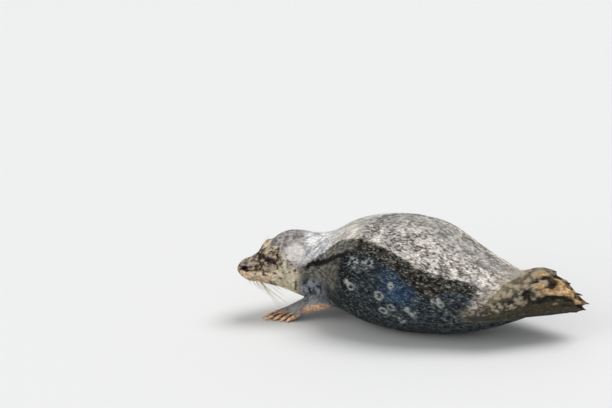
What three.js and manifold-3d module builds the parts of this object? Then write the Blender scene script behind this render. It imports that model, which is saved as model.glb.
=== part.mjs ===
// A young harbor seal at rest on its belly, life size, in millimetres. +Z is up and the floor is Z = 0.
// The nose points to -X and turns to the seal's own left, which is -Y; the tail end swings the other way.
// The body is one loft of oval sections along a bent spine. It is parted into head, neck, chest, belly,
// rump and tail by thin cuts across the spine, and the four flippers are parted from it where they join.
import * as THREE from "three";
import { mergeVertices } from "three/addons/utils/BufferGeometryUtils.js";
import Module from "manifold-3d";

const wasm = await Module();
wasm.setup();

// ---- Driving dimensions ---------------------------------------------------------------------------
const BODY_LENGTH = 934; // nose to tail tip, along the spine
const GAP = 0.3; // between neighbouring pieces
const NOSE_ROUND = 30; // length over which the nose closes to a point
const TAIL_ROUND = 30;
const AROUND = 28; // sides of a body section
const TIP_ROWS = [0.5, 3, 8, 15]; // rings where the nose or the tail tip closes

// Sections from nose to tail. along: distance down the spine. turn: degrees that the spine is swung to
// the seal's left there. height: centre above the floor. side, top, under: half width, and reach up and down.
const SECTIONS = [
  { name: "nose", along: 0, turn: 38, height: 145, side: 24, top: 20, under: 20 },
  { name: "muzzle_front", along: 22, turn: 38, height: 144, side: 33, top: 27, under: 30 },
  { name: "muzzle", along: 52, turn: 38, height: 143, side: 41, top: 35, under: 37 },
  { name: "eyes", along: 87, turn: 38, height: 141, side: 58, top: 67, under: 45 },
  { name: "crown", along: 129, turn: 37, height: 139, side: 69, top: 96, under: 60 },
  { name: "nape", along: 174, turn: 34, height: 136, side: 75, top: 98, under: 82 },
  { name: "neck", along: 219, turn: 26, height: 133, side: 84, top: 92, under: 94 },
  { name: "neck_base", along: 274, turn: 14, height: 132, side: 112, top: 104, under: 110 },
  { name: "shoulder", along: 344, turn: 6, height: 138, side: 150, top: 130, under: 134 },
  { name: "chest", along: 434, turn: 2, height: 142, side: 168, top: 146, under: 150 },
  { name: "belly", along: 544, turn: 2, height: 136, side: 166, top: 142, under: 146 },
  { name: "loin", along: 644, turn: 6, height: 124, side: 140, top: 104, under: 124 },
  { name: "rump", along: 744, turn: 10, height: 112, side: 100, top: 70, under: 84 },
  { name: "tail_root", along: 824, turn: 14, height: 108, side: 60, top: 46, under: 44 },
  { name: "tail", along: 884, turn: 16, height: 112, side: 32, top: 24, under: 20 },
  { name: "tail_tip", along: 934, turn: 18, height: 112, side: 18, top: 9, under: 8 },
];
const ANCHOR_ALONG = 474; // the spine's point that starts at X = Y = 0, before the whole is centred

// Soft forms that stand out from the oval sections, the same on both sides. angle: degrees round from the
// top line. rise: how far out. reach: spread along the spine. wide: spread round the section, in degrees.
const FORMS = [
  { name: "whisker_pad", along: 31, angle: 108, rise: 7, reach: 15, wide: 28 },
  { name: "brow", along: 77, angle: 34, rise: 16, reach: 17, wide: 14 },
  { name: "bridge", along: 57, angle: 0, rise: 6, reach: 21, wide: 20 },
  { name: "between_brows", along: 84, angle: 0, rise: -4, reach: 16, wide: 16 },
  { name: "cheek", along: 100, angle: 105, rise: 6, reach: 24, wide: 26 },
  { name: "temple", along: 122, angle: 62, rise: -4, reach: 18, wide: 20 },
  { name: "shoulder_blade", along: 334, angle: 62, rise: 9, reach: 48, wide: 26 },
  { name: "neck_crease", along: 252, angle: 100, rise: -5, reach: 18, wide: 50 },
  { name: "haunch", along: 739, angle: 86, rise: 13, reach: 60, wide: 30 },
  { name: "tail_groove", along: 839, angle: 40, rise: -8, reach: 30, wide: 20 },
];

// Where the spine is cut, what lies between the cuts, and how far apart its section rings are.
const BODY_PIECES = [
  { name: "head", from: 0, to: 158, step: 8.5 },
  { name: "neck", from: 158, to: 266, step: 18 },
  { name: "chest", from: 266, to: 459, step: 20 },
  { name: "belly", from: 459, to: 654, step: 22 },
  { name: "rump", from: 654, to: 826, step: 20 },
  { name: "tail", from: 826, to: BODY_LENGTH, step: 20 },
];

// Openings in the head's surface: angle is from the top line and tilt from the spine, in degrees.
const EYE = { along: 88, angle: 60, tilt: -34, radius: 16, sunk: 1.4, slitLength: 34, slitHeight: 5 };
const NOSTRIL = { along: 16, angle: 67, tilt: 24, length: 14, width: 7, depth: 7 };
// The mouth's line runs back from the nose and, where the jaw ends, down through the throat.
const MOUTH = {
  line: [
    { along: -12, up: -9 },
    { along: 9, up: -12 },
    { along: 34, up: -18 },
    { along: 60, up: -25 },
    { along: 84, up: -29 },
    { along: 94, up: -46 },
    { along: 98, up: -90 },
  ],
  thickness: 0.6,
  reach: 110, // to each side, clear of the head
};

// ---- Smooth curves --------------------------------------------------------------------------------
// A natural cubic spline: it passes through every value, with no jump in slope or bend.
function splineThrough(knots, values) {
  const n = knots.length;
  const bend = new Array(n).fill(0);
  const carried = new Array(n).fill(0);
  for (let i = 1; i < n - 1; i++) {
    const before = knots[i] - knots[i - 1];
    const after = knots[i + 1] - knots[i];
    const pull = 6 * ((values[i + 1] - values[i]) / after - (values[i] - values[i - 1]) / before);
    const weight = 2 * (before + after) - before * carried[i - 1];
    carried[i] = after / weight;
    bend[i] = (pull - before * bend[i - 1]) / weight;
  }
  for (let i = n - 2; i > 0; i--) bend[i] -= carried[i] * bend[i + 1];
  return (x) => {
    let i = 0;
    while (i < n - 2 && x > knots[i + 1]) i++;
    const width = knots[i + 1] - knots[i];
    const a = (knots[i + 1] - x) / width;
    const b = (x - knots[i]) / width;
    const curve = ((a ** 3 - a) * bend[i] + (b ** 3 - b) * bend[i + 1]) * (width * width) / 6;
    return a * values[i] + b * values[i + 1] + curve;
  };
}

const knots = SECTIONS.map((section) => section.along);
const sectionCurve = (key) => splineThrough(knots, SECTIONS.map((section) => section[key]));
const turnAt = sectionCurve("turn");
const heightAt = sectionCurve("height");
const sideAt = sectionCurve("side");
const topAt = sectionCurve("top");
const underAt = sectionCurve("under");

// ---- The spine ------------------------------------------------------------------------------------
// Walked in steps of 1 mm from the nose: each step heads the way that turn and height say.
const UP = new THREE.Vector3(0, 0, 1);
function walkSpine() {
  const points = [];
  const directions = [];
  const place = new THREE.Vector3();
  for (let s = 0; s <= BODY_LENGTH; s++) {
    const low = Math.max(0, s - 1);
    const high = Math.min(BODY_LENGTH, s + 1);
    const climb = (heightAt(high) - heightAt(low)) / (high - low);
    const level = Math.sqrt(1 - climb * climb);
    const turn = THREE.MathUtils.degToRad(turnAt(s));
    const direction = new THREE.Vector3(Math.cos(turn) * level, Math.sin(turn) * level, climb);
    if (s > 0) {
      place.x += (direction.x + directions[s - 1].x) / 2;
      place.y += (direction.y + directions[s - 1].y) / 2;
    }
    place.z = heightAt(s);
    points.push(place.clone());
    directions.push(direction);
  }
  const anchor = points[ANCHOR_ALONG].clone().setZ(0);
  points.forEach((point) => point.sub(anchor));
  return { points, directions };
}
const spine = walkSpine();

// Centre, direction to the tail, the seal's left and the section's own up, at a distance along the spine.
function frameAt(along) {
  const low = Math.min(Math.floor(along), BODY_LENGTH - 1);
  const share = along - low;
  const centre = spine.points[low].clone().lerp(spine.points[low + 1], share);
  const back = spine.directions[low].clone().lerp(spine.directions[low + 1], share).normalize();
  const left = back.clone().cross(UP).normalize();
  const up = left.clone().cross(back);
  return { centre, back, left, up };
}

// A point of the frame: sideways to the left, up, and back towards the tail.
function inFrame(along, left, up, back = 0) {
  const f = frameAt(along);
  return f.centre.addScaledVector(f.left, left).addScaledVector(f.up, up).addScaledVector(f.back, back);
}

// ---- The body's surface ---------------------------------------------------------------------------
// How far a section is open near an end of the body: 0 at the tip, 1 once past the rounded end.
const closing = (distance, round) => Math.sqrt(Math.max(0, 1 - Math.max(0, 1 - distance / round) ** 2));

function formsAt(along, angle) {
  let rise = 0;
  const degrees = Math.abs(THREE.MathUtils.radToDeg(angle));
  for (const form of FORMS) {
    const a = (along - form.along) / form.reach;
    const b = (degrees - form.angle) / form.wide;
    rise += form.rise * Math.exp(-a * a - b * b);
  }
  return rise;
}

// angle runs from -180 to 180 degrees (in radians), 0 at the top line and positive on the seal's left.
function bodyPoint(along, angle, grow = 0) {
  const end = closing(along, NOSE_ROUND) * closing(BODY_LENGTH - along, TAIL_ROUND);
  const side = sideAt(along);
  const tall = Math.cos(angle) > 0 ? topAt(along) : underAt(along);
  const radius = Math.hypot(side * Math.sin(angle), tall * Math.cos(angle));
  const scale = end + (formsAt(along, angle) * end + grow) / radius;
  return inFrame(along, side * Math.sin(angle) * scale, tall * Math.cos(angle) * scale);
}

// Soft flesh lies flat on the floor: nothing goes below it.
function onFloor(point) {
  point.z = Math.max(point.z, 0);
  return point;
}

// ---- Solids ---------------------------------------------------------------------------------------
function solidFrom(geometry) {
  const bare = geometry.clone();
  bare.deleteAttribute("normal");
  bare.deleteAttribute("uv");
  const merged = mergeVertices(bare, 1e-4);
  return new wasm.Manifold(
    new wasm.Mesh({
      numProp: 3,
      vertProperties: new Float32Array(merged.attributes.position.array),
      triVerts: new Uint32Array(merged.index.array),
    }),
  );
}

function geometryOf(solid) {
  const mesh = solid.getMesh();
  const geometry = new THREE.BufferGeometry();
  geometry.setAttribute("position", new THREE.BufferAttribute(new Float32Array(mesh.vertProperties), 3));
  geometry.setIndex(new THREE.BufferAttribute(new Uint32Array(mesh.triVerts), 1));
  geometry.computeVertexNormals();
  return geometry;
}

// The triangles that close one ring: a fan round its middle point, or, for a flipper's thin tip edge, a
// strip sewn straight across from one face of the ring to the other.
function fanFaces(first, count, middle) {
  const faces = [];
  for (let j = 0; j < count; j++) faces.push(middle, first + j, first + ((j + 1) % count));
  return faces;
}

function stripFaces(first, count) {
  const faces = [];
  for (let j = 0; j < count / 2; j++) {
    const [near, far] = [first + j, first + ((count - j) % count)];
    const [nextNear, nextFar] = [near + 1, first + count - j - 1];
    if (near !== far) faces.push(far, near, nextNear);
    if (nextNear !== nextFar) faces.push(far, nextNear, nextFar);
  }
  return faces;
}

// A closed solid over rings of points, each with the same count of points. Rings that run the wrong way
// round would turn it inside out, and are turned about.
function solidOfRings(rings, thinEnd = false) {
  const count = rings[0].length;
  const vertices = rings.flat();
  const middleOf = (ring) => ring.reduce((sum, p) => sum.add(p), new THREE.Vector3()).divideScalar(count);
  const faces = [];
  for (let i = 0; i < rings.length - 1; i++) {
    for (let j = 0; j < count; j++) {
      const k = (j + 1) % count;
      const [a, b] = [i * count, (i + 1) * count];
      faces.push(a + j, b + k, a + k, a + j, b + j, b + k);
    }
  }
  const last = (rings.length - 1) * count;
  faces.push(...fanFaces(0, count, vertices.push(middleOf(rings[0])) - 1));
  const closed = thinEnd
    ? stripFaces(last, count)
    : fanFaces(last, count, vertices.push(middleOf(rings[rings.length - 1])) - 1);
  for (let i = 0; i < closed.length; i += 3) faces.push(closed[i], closed[i + 2], closed[i + 1]);
  const geometry = new THREE.BufferGeometry().setFromPoints(vertices);
  geometry.setIndex(faces);
  const solid = solidFrom(geometry);
  if (solid.volume() > 0) return solid;
  return solidOfRings(rings.map(([start, ...others]) => [start, ...others.reverse()]), thinEnd);
}

// Where a piece has its section rings: at most step apart, and closer where the nose or tail closes.
function rowsOf(piece) {
  const low = piece.from === 0 ? NOSE_ROUND : piece.from + GAP / 2;
  const high = piece.to === BODY_LENGTH ? BODY_LENGTH - TAIL_ROUND : piece.to - GAP / 2;
  const count = Math.ceil((high - low) / piece.step);
  const rows = [];
  for (let i = 0; i <= count; i++) rows.push(low + ((high - low) * i) / count);
  const nose = piece.from === 0 ? TIP_ROWS : [];
  const tail = piece.to === BODY_LENGTH ? TIP_ROWS.map((row) => BODY_LENGTH - row).reverse() : [];
  return [...nose, ...rows, ...tail];
}

function bodySolid(rows, grow = 0) {
  const rings = rows.map((along) => {
    const ring = [];
    for (let j = 0; j < AROUND; j++) {
      const angle = Math.PI - ((j + 0.5) / AROUND) * 2 * Math.PI;
      ring.push(onFloor(bodyPoint(along, angle, grow)));
    }
    return ring;
  });
  return solidOfRings(rings);
}

// ---- Flippers -------------------------------------------------------------------------------------
// A flipper is a flat limb along a path. t runs from its root inside the body to the tips, and q across
// it, from -1 at the trailing edge to 1 at the leading one, with a ridge for each of the five digits.
// Along the path, left and forward are measured level from the spine at base, and height from the floor.
const DIGITS = [0.8, 0.4, 0, -0.4, -0.8];
const CLAW_RINGS = 4;
const CLAW_SIDES = 6;
const TIP_FROM = 0.97; // of t: beyond it the digits round off
const digitRidge = (q) => 0.5 + 0.5 * Math.cos((2 * Math.PI * q) / 0.4);

const FORE_FLIPPER = {
  base: 289, // along the spine
  t: [0, 0.3, 0.5, 0.7, 1],
  left: [40, 52, 52, 64, 98],
  height: [86, 60, 38, 14.5, 4.5],
  forward: [16, 58, 100, 144, 194],
  chord: [40, 36, 30, 31, 28],
  thick: [27, 21, 15, 13, 13],
  reach: [0.71, 0.8, 0.89, 0.97, 1], // how far the edge goes at q = -1, -0.5, 0, 0.5 and 1
  rootFacing: { left: 0.75, up: 0.65 }, // which way the back of the limb looks at its root
  tipFacing: { left: 0.3, up: 0.95 },
  notch: 0.09,
  rings: 10,
  sides: 32,
  claw: { length: 11, radius: 3.8, inset: 9, lift: 2.6, droop: 0.75 },
};

const HIND_FLIPPER = {
  base: 794,
  t: [0, 0.2, 0.4, 0.65, 1],
  left: [84, 82, 62, 34, 14],
  height: [94, 106, 122, 140, 127],
  forward: [120, 60, 0, -75, -168],
  chord: [22, 33, 48, 62, 46],
  thick: [38, 39, 33, 21, 10],
  reach: [0.62, 0.76, 0.91, 0.99, 0.92],
  rootFacing: { left: 1, up: 0.1 },
  tipFacing: { left: 1, up: 0.1 },
  notch: 0.05,
  rings: 10,
  sides: 32,
  claw: { length: 8, radius: 2.2, inset: 10, lift: 1.4, droop: 0.2 },
};

// The right fore flipper is swung further out from the neck than the left one.
const FORE_FLIPPER_OUT = {
  ...FORE_FLIPPER,
  left: [40, 64, 84, 112, 158],
  forward: [16, 56, 80, 104, 136],
};

// The right hind flipper is held a little lower, behind the left one.
const HIND_FLIPPER_LOW = { ...HIND_FLIPPER, height: [92, 100, 109, 120, 112] };

// One flipper's curves as functions of t, and its surface point at (t, round), where round goes once
// about the limb: q = -cos(round), with the back of the limb where sin(round) is positive.
function flipperShape(plan, sideSign) {
  const along = (key) => splineThrough(plan.t, plan[key]);
  const [left, height, forward, chord, thick] = ["left", "height", "forward", "chord", "thick"].map(along);
  const reach = splineThrough([-1, -0.5, 0, 0.5, 1], plan.reach);
  const f = frameAt(plan.base);
  const sideways = f.left.clone().multiplyScalar(sideSign);
  const ahead = f.back.clone().negate().setZ(0).normalize();
  const centre = (t) =>
    f.centre.clone().setZ(height(t)).addScaledVector(sideways, left(t)).addScaledVector(ahead, forward(t));
  const facing = (t) => {
    const mix = THREE.MathUtils.smoothstep(t, 0.1, 0.55);
    const l = THREE.MathUtils.lerp(plan.rootFacing.left, plan.tipFacing.left, mix);
    const u = THREE.MathUtils.lerp(plan.rootFacing.up, plan.tipFacing.up, mix);
    return sideways.clone().multiplyScalar(l).addScaledVector(UP, u).normalize();
  };
  const axes = (t) => {
    const run = centre(Math.min(t + 0.01, 1)).sub(centre(Math.max(t - 0.01, 0))).normalize();
    const lead = run.clone().cross(facing(t)).multiplyScalar(sideSign).normalize();
    const back = lead.clone().cross(run).multiplyScalar(sideSign).normalize();
    return { run, lead, back };
  };
  const surface = (t, q, level) => {
    const ridge = digitRidge(q);
    const spread = THREE.MathUtils.smoothstep(t, 0.4, 0.95);
    const own = t * THREE.MathUtils.lerp(1, reach(q) * (1 - plan.notch * (1 - ridge)), spread);
    const { lead, back } = axes(own);
    const edge = Math.sqrt(Math.max(0, 1 - q * q));
    const beyond = Math.max(0, (t - TIP_FROM) / (1 - TIP_FROM));
    const rounded = Math.sqrt(1 - 0.85 * beyond * beyond);
    const taper = THREE.MathUtils.lerp(1, 0.55, THREE.MathUtils.smoothstep(t, 0.8, 1)) * rounded;
    const plump = THREE.MathUtils.lerp(1, 0.62 + 0.38 * ridge, spread);
    const rise = Math.max(thick(own) * edge * plump * taper, 0.7);
    return centre(own).addScaledVector(lead, q * chord(own)).addScaledVector(back, level * rise);
  };
  return { centre, axes, surface };
}

function flipperSolid(plan, sideSign) {
  const shape = flipperShape(plan, sideSign);
  const rings = [];
  for (let i = 0; i <= plan.rings; i++) {
    const t = i < plan.rings ? TIP_FROM * (1 - (1 - i / (plan.rings - 1)) ** 1.25) : 1;
    const ring = [];
    for (let j = 0; j < plan.sides; j++) {
      const round = (2 * Math.PI * j) / plan.sides;
      const q = -0.985 * Math.cos(round);
      const level = Math.sign(Math.round(Math.sin(round) * 1e6));
      ring.push(onFloor(shape.surface(t, q, level)));
    }
    rings.push(ring);
  }
  return solidOfRings(rings, true);
}

// A claw stands in the back of a digit's end and bends down towards its tip.
function clawSolid(plan, sideSign, q, grow = 0) {
  const { claw } = plan;
  const shape = flipperShape(plan, sideSign);
  const end = shape.surface(1, q, 0);
  const run = end.clone().sub(shape.surface(0.9, q, 0)).normalize();
  const side = run.clone().cross(shape.axes(1).back).normalize();
  const up = side.clone().cross(run);
  const rings = [];
  for (let i = 0; i <= CLAW_RINGS; i++) {
    const s = i / CLAW_RINGS;
    const reach = THREE.MathUtils.lerp(-claw.inset - grow, claw.length + grow, s);
    const radius = claw.radius * Math.sqrt(1 - 0.96 * s * s) + grow;
    const height = claw.lift - claw.droop * claw.length * s * s;
    const middle = end.clone().addScaledVector(run, reach).addScaledVector(up, height);
    const ring = [];
    for (let j = 0; j < CLAW_SIDES; j++) {
      const round = (2 * Math.PI * j) / CLAW_SIDES;
      const point = middle.clone().addScaledVector(side, radius * Math.cos(round));
      ring.push(onFloor(point.addScaledVector(up, radius * Math.sin(round))));
    }
    rings.push(ring);
  }
  return solidOfRings(rings);
}

// ---- Head openings ----------------------------------------------------------------------------------
// The directions on the skin at a point: to the tail, towards the top line, and straight out.
function skinFrame(along, angle) {
  const back = bodyPoint(along + 1, angle).sub(bodyPoint(along - 1, angle)).normalize();
  const round = bodyPoint(along, angle + 0.02).sub(bodyPoint(along, angle - 0.02));
  const out = round.cross(back).normalize();
  const up = out.clone().cross(back).multiplyScalar(Math.sign(angle));
  return { point: bodyPoint(along, angle), back, up, out };
}

// A ball stretched to a length, a width and a depth, set in the skin with its length tilted from the spine.
function dimple({ along, angle, tilt, length, width, depth }, sideSign) {
  const { point, back, up, out } = skinFrame(along, THREE.MathUtils.degToRad(angle) * sideSign);
  const lean = THREE.MathUtils.degToRad(tilt);
  const run = back.multiplyScalar(Math.cos(lean)).addScaledVector(up, Math.sin(lean));
  const across = out.clone().cross(run);
  const basis = [
    run.multiplyScalar(length / 2),
    across.multiplyScalar(width / 2),
    out.multiplyScalar(depth),
  ];
  const ball = new THREE.SphereGeometry(1, 10, 6);
  return solidFrom(ball.applyMatrix4(new THREE.Matrix4().makeBasis(...basis).setPosition(point)));
}

function eyeball(sideSign, grow = 0) {
  const { point, out } = skinFrame(EYE.along, THREE.MathUtils.degToRad(EYE.angle) * sideSign);
  const centre = point.addScaledVector(out, -EYE.radius - EYE.sunk);
  const ball = new THREE.SphereGeometry(EYE.radius + grow, 16, 10);
  return solidFrom(ball.translate(centre.x, centre.y, centre.z));
}

function mouthCut() {
  const corners = [[1, 1], [1, -1], [-1, -1], [-1, 1]];
  const rings = MOUTH.line.map(({ along, up }, i) => {
    const before = MOUTH.line[Math.max(i - 1, 0)];
    const after = MOUTH.line[Math.min(i + 1, MOUTH.line.length - 1)];
    const run = Math.hypot(after.along - before.along, after.up - before.up);
    const half = MOUTH.thickness / 2 / run;
    return corners.map(([side, face]) => {
      const across = up + face * half * (after.along - before.along);
      const back = along - face * half * (after.up - before.up);
      return inFrame(Math.max(along, 0), side * MOUTH.reach, across, back - Math.max(along, 0));
    });
  });
  return solidOfRings(rings);
}

function headSolids(whole) {
  let head = whole;
  for (const sideSign of [1, -1]) {
    const slit = { ...EYE, length: EYE.slitLength, width: EYE.slitHeight, depth: 4 * EYE.sunk };
    head = head.subtract(eyeball(sideSign, GAP)).subtract(dimple(slit, sideSign));
    head = head.subtract(dimple(NOSTRIL, sideSign));
  }
  const [skull, jaw] = head.subtract(mouthCut()).decompose().sort((a, b) => b.volume() - a.volume());
  return { skull, jaw };
}

// ---- The seal -------------------------------------------------------------------------------------
const seal = new THREE.Group();
const LOOKS = {
  coat: { color: 0x9a9790, roughness: 0.85 },
  wetSkin: { color: 0x5d5a58, roughness: 0.6 },
  horn: { color: 0xc99a7a, roughness: 0.5 },
  eye: { color: 0x1e1612, roughness: 0.15 },
};

function add(name, solid, look) {
  const mesh = new THREE.Mesh(geometryOf(solid), new THREE.MeshStandardMaterial(LOOKS[look]));
  mesh.name = name;
  seal.add(mesh);
}

for (const piece of BODY_PIECES) {
  const whole = bodySolid(rowsOf(piece));
  if (piece.name !== "head") {
    add(piece.name, whole, "coat");
    continue;
  }
  const { skull, jaw } = headSolids(whole);
  add("head", skull, "coat");
  add("lower_jaw", jaw, "coat");
}

const FLIPPERS = [
  { limb: "fore", word: "left", sideSign: 1, plan: FORE_FLIPPER },
  { limb: "fore", word: "right", sideSign: -1, plan: FORE_FLIPPER_OUT },
  { limb: "hind", word: "left", sideSign: 1, plan: HIND_FLIPPER },
  { limb: "hind", word: "right", sideSign: -1, plan: HIND_FLIPPER_LOW },
];
const grownBody = bodySolid(BODY_PIECES.flatMap(rowsOf), GAP);
for (const { limb, word, sideSign, plan } of FLIPPERS) {
  let flipper = flipperSolid(plan, sideSign).subtract(grownBody);
  DIGITS.forEach((q, i) => {
    add(`claw_${limb}_${word}_${i + 1}`, clawSolid(plan, sideSign, q), "horn");
    flipper = flipper.subtract(clawSolid(plan, sideSign, q, GAP));
  });
  add(`${limb}_flipper_${word}`, flipper, "wetSkin");
}
add("eye_left", eyeball(1), "eye");
add("eye_right", eyeball(-1), "eye");

// X = Y = 0 is the middle of the seal's box.
const middle = new THREE.Box3().setFromObject(seal).getCenter(new THREE.Vector3());
for (const mesh of seal.children) mesh.geometry.translate(-middle.x, -middle.y, 0);

export default seal;
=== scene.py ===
# %% [markdown]
# # A young harbor seal at rest
# The seal lies on its belly with its head turned to its own left, eyes nearly shut, one fore flipper
# reaching forward and the hind flippers held together behind it. The solids of the frame give its size
# and pose. Here they get one unbroken skin, a short flat coat, eyes, claws and whiskers.

# %% The frame
import bmesh
import bpy
import numpy as np
from mathutils import Matrix, Vector


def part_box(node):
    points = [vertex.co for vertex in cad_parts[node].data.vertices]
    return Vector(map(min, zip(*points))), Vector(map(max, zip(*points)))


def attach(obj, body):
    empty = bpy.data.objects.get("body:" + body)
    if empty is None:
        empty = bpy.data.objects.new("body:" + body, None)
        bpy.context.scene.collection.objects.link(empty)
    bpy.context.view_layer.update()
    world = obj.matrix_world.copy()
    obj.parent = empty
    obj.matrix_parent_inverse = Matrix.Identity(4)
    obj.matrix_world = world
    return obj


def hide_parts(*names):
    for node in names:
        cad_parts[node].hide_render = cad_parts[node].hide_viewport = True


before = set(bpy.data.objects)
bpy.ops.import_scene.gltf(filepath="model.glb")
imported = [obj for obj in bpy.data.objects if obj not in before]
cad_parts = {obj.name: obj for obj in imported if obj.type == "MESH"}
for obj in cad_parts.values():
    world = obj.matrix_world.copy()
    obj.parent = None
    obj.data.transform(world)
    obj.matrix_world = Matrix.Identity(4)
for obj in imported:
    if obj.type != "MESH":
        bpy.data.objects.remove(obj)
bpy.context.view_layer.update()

# %% [markdown]
# ## Small helpers
# Every shape below is a surface of two parameters, worked out as whole numpy arrays. It is built up from
# soft steps, bell curves and smooth curves through a few named values, because a body has no hard edges.

# %% Helpers
MM = 0.001


def ramp(x, low, high):
    """From 0 at low to 1 at high, which may be the lesser, in a smooth S: t squared times (3 - 2t)."""
    t = np.clip((np.asarray(x, float) - low) / (high - low), 0, 1)
    return t * t * (3 - 2 * t)


def hump(x, middle, reach):
    """A bell curve: e to the minus squared distance from the middle, counted in reaches."""
    return np.exp(-(((x - middle) / reach) ** 2))


def marks(table, x, y):
    """A sum of round humps. Each row has the place in x and y, the reach in x and y, and the strength."""
    return sum(strong * hump(x, a, reach) * hump(y, b, wide) for a, b, reach, wide, strong in table)


def spline(knots, values):
    """The natural cubic spline through the values: bends solve one tridiagonal set of equations."""
    knots, values = np.array(knots, float), np.array(values, float)
    gap, count = np.diff(knots), len(knots)
    system, pull, inner = np.eye(count), np.zeros(count), np.arange(1, count - 1)
    system[inner, inner - 1] = gap[:-1]
    system[inner, inner] = 2 * (gap[:-1] + gap[1:])
    system[inner, inner + 1] = gap[1:]
    pull[inner] = 6 * np.diff(np.diff(values) / gap)
    bend = np.linalg.solve(system, pull)

    def curve(x):
        i = np.clip(np.searchsorted(knots, x) - 1, 0, count - 2)
        a = (knots[i + 1] - x) / gap[i]
        b = 1 - a
        bending = ((a**3 - a) * bend[i] + (b**3 - b) * bend[i + 1]) * gap[i] ** 2 / 6
        return a * values[i] + b * values[i + 1] + bending

    return curve


def unit(vectors):
    """Each vector divided by its own length."""
    return vectors / np.maximum(np.linalg.norm(vectors, axis=-1, keepdims=True), 1e-12)


print("a soft step:", ramp([0, 0.25, 0.5, 0.75, 1], 0, 1).round(3))


# %% [markdown]
# ## The body's plan
# A seal's trunk is a spindle, so its surface is a loft: oval sections stand square to a bent spine. Each
# section has a half width and a reach up and down, and smooth curves run through a few named sections.
# Soft forms such as cheeks, brows and haunches are bell curves added on top. These are the same values
# that the solids are built from, in millimetres.

# %% Sections and forms
BODY_LENGTH = 934
END_ROUND = 30  # length of the rounded part at the nose and at the tail
ANCHOR_ALONG = 474  # the place on the spine that lies at its own zero
SECTIONS = np.array([  # along, turn, height, side, top, under
    [0, 38, 145, 24, 20, 20],  # nose
    [22, 38, 144, 33, 27, 30],  # front of the muzzle
    [52, 38, 143, 41, 35, 37],  # muzzle
    [87, 38, 141, 58, 67, 45],  # eyes
    [129, 37, 139, 69, 96, 60],  # crown
    [174, 34, 136, 75, 98, 82],  # nape
    [219, 26, 133, 84, 92, 94],  # neck
    [274, 14, 132, 112, 104, 110],  # neck base
    [344, 6, 138, 150, 130, 134],  # shoulder
    [434, 2, 142, 168, 146, 150],  # chest
    [544, 2, 136, 166, 142, 146],  # belly
    [644, 6, 124, 140, 104, 124],  # loin
    [744, 10, 112, 100, 70, 84],  # rump
    [824, 14, 108, 60, 46, 44],  # root of the tail
    [884, 16, 112, 32, 24, 20],  # tail
    [934, 18, 112, 18, 9, 8],  # tip of the tail
])
turn_at, height_at, side_at, top_at, under_at = (spline(SECTIONS[:, 0], row) for row in SECTIONS.T[1:])
FORMS = [  # along, degrees from the top line, reach of both, rise
    (31, 108, 15, 28, 7),  # whisker pad
    (77, 34, 17, 14, 16),  # brow
    (57, 0, 21, 20, 6),  # bridge
    (84, 0, 16, 16, -4),  # between the brows
    (100, 105, 24, 26, 6),  # cheek
    (122, 62, 18, 20, -4),  # temple
    (334, 62, 48, 26, 9),  # shoulder blade
    (252, 100, 18, 50, -5),  # neck crease
    (739, 86, 60, 30, 13),  # haunch
    (839, 40, 30, 20, -8),  # tail groove
]
print("widest section:", 2 * SECTIONS[:, 3].max(), "mm across")


# %% Spine and surface
def walk_spine():
    """Centres and directions every millimetre: each step heads the way that turn and height say."""
    s = np.arange(BODY_LENGTH + 1.0)
    low, high = np.maximum(s - 1, 0), np.minimum(s + 1, BODY_LENGTH)
    climb = (height_at(high) - height_at(low)) / (high - low)
    level, turn = np.sqrt(1 - climb**2), np.radians(turn_at(s))
    direction = np.stack([np.cos(turn) * level, np.sin(turn) * level, climb], -1)
    centre = np.zeros((len(s), 3))
    centre[1:] = np.cumsum((direction[1:] + direction[:-1]) / 2, 0)
    centre -= centre[ANCHOR_ALONG]
    centre[:, 2] = height_at(s)
    return np.concatenate([centre, direction], 1)


SPINE = walk_spine()


def frame_at(along):
    """Centre, direction to the tail, the seal's left and the section's own up, at each distance."""
    found = np.stack([np.interp(along, np.arange(len(SPINE)), row) for row in SPINE.T], -1)
    back = unit(found[..., 3:])
    left = unit(np.cross(back, [0.0, 0.0, 1.0]))
    return found[..., :3], back, left, np.cross(left, back)


def body_point(along, angle, grow=0.0):
    """The body's surface: an oval of the section's sizes, closed at both ends, plus the soft forms.

    The angle is 0 on the top line and positive on the seal's left. grow moves the surface outwards."""
    along, angle = np.broadcast_arrays(np.asarray(along, float), np.asarray(angle, float))
    inward = np.clip(1 - np.stack([along, BODY_LENGTH - along]) / END_ROUND, 0, None)
    closing = np.sqrt(np.clip(1 - inward**2, 0, None)).prod(0)
    tall = np.where(np.cos(angle) > 0, top_at(along), under_at(along))
    aside, above = side_at(along) * np.sin(angle), tall * np.cos(angle)
    rise = marks(FORMS, along, np.abs(np.degrees(angle)))
    scale = closing + (rise * closing + grow) / np.hypot(aside, above)
    centre, _, left, up = frame_at(along)
    return centre + left * (aside * scale)[..., None] + up * (above * scale)[..., None]


def skin_frame(along, angle):
    """The point and three directions on the skin: to the tail, to the top line, and straight out."""
    back = unit(body_point(along + 1, angle) - body_point(along - 1, angle))
    round_way = body_point(along, angle + 0.02) - body_point(along, angle - 0.02)
    out = unit(np.cross(round_way, back))
    return body_point(along, angle), back, np.cross(out, back) * np.sign(angle), out


print("spine in the millimetres of its own zero: nose", SPINE[0, :3].round(1), "tail", SPINE[-1, :3].round(1))


# %% Place in the frame
# The eyes tell where the spine's own zero lies in the frame. An opening of the face is at a place along
# and round the head, where the skin is a ring's radius from the spine, and its slit is tilted.
EYE = {"along": 88, "angle": 60, "tilt": -34, "ring": 61.0}
NOSTRIL = {"along": 18, "angle": 63, "tilt": 10, "ring": 27.0}
EYE_RADIUS = 16
EYE_SUNK = 1.4  # how far the eyeball lies under the skin


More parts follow.
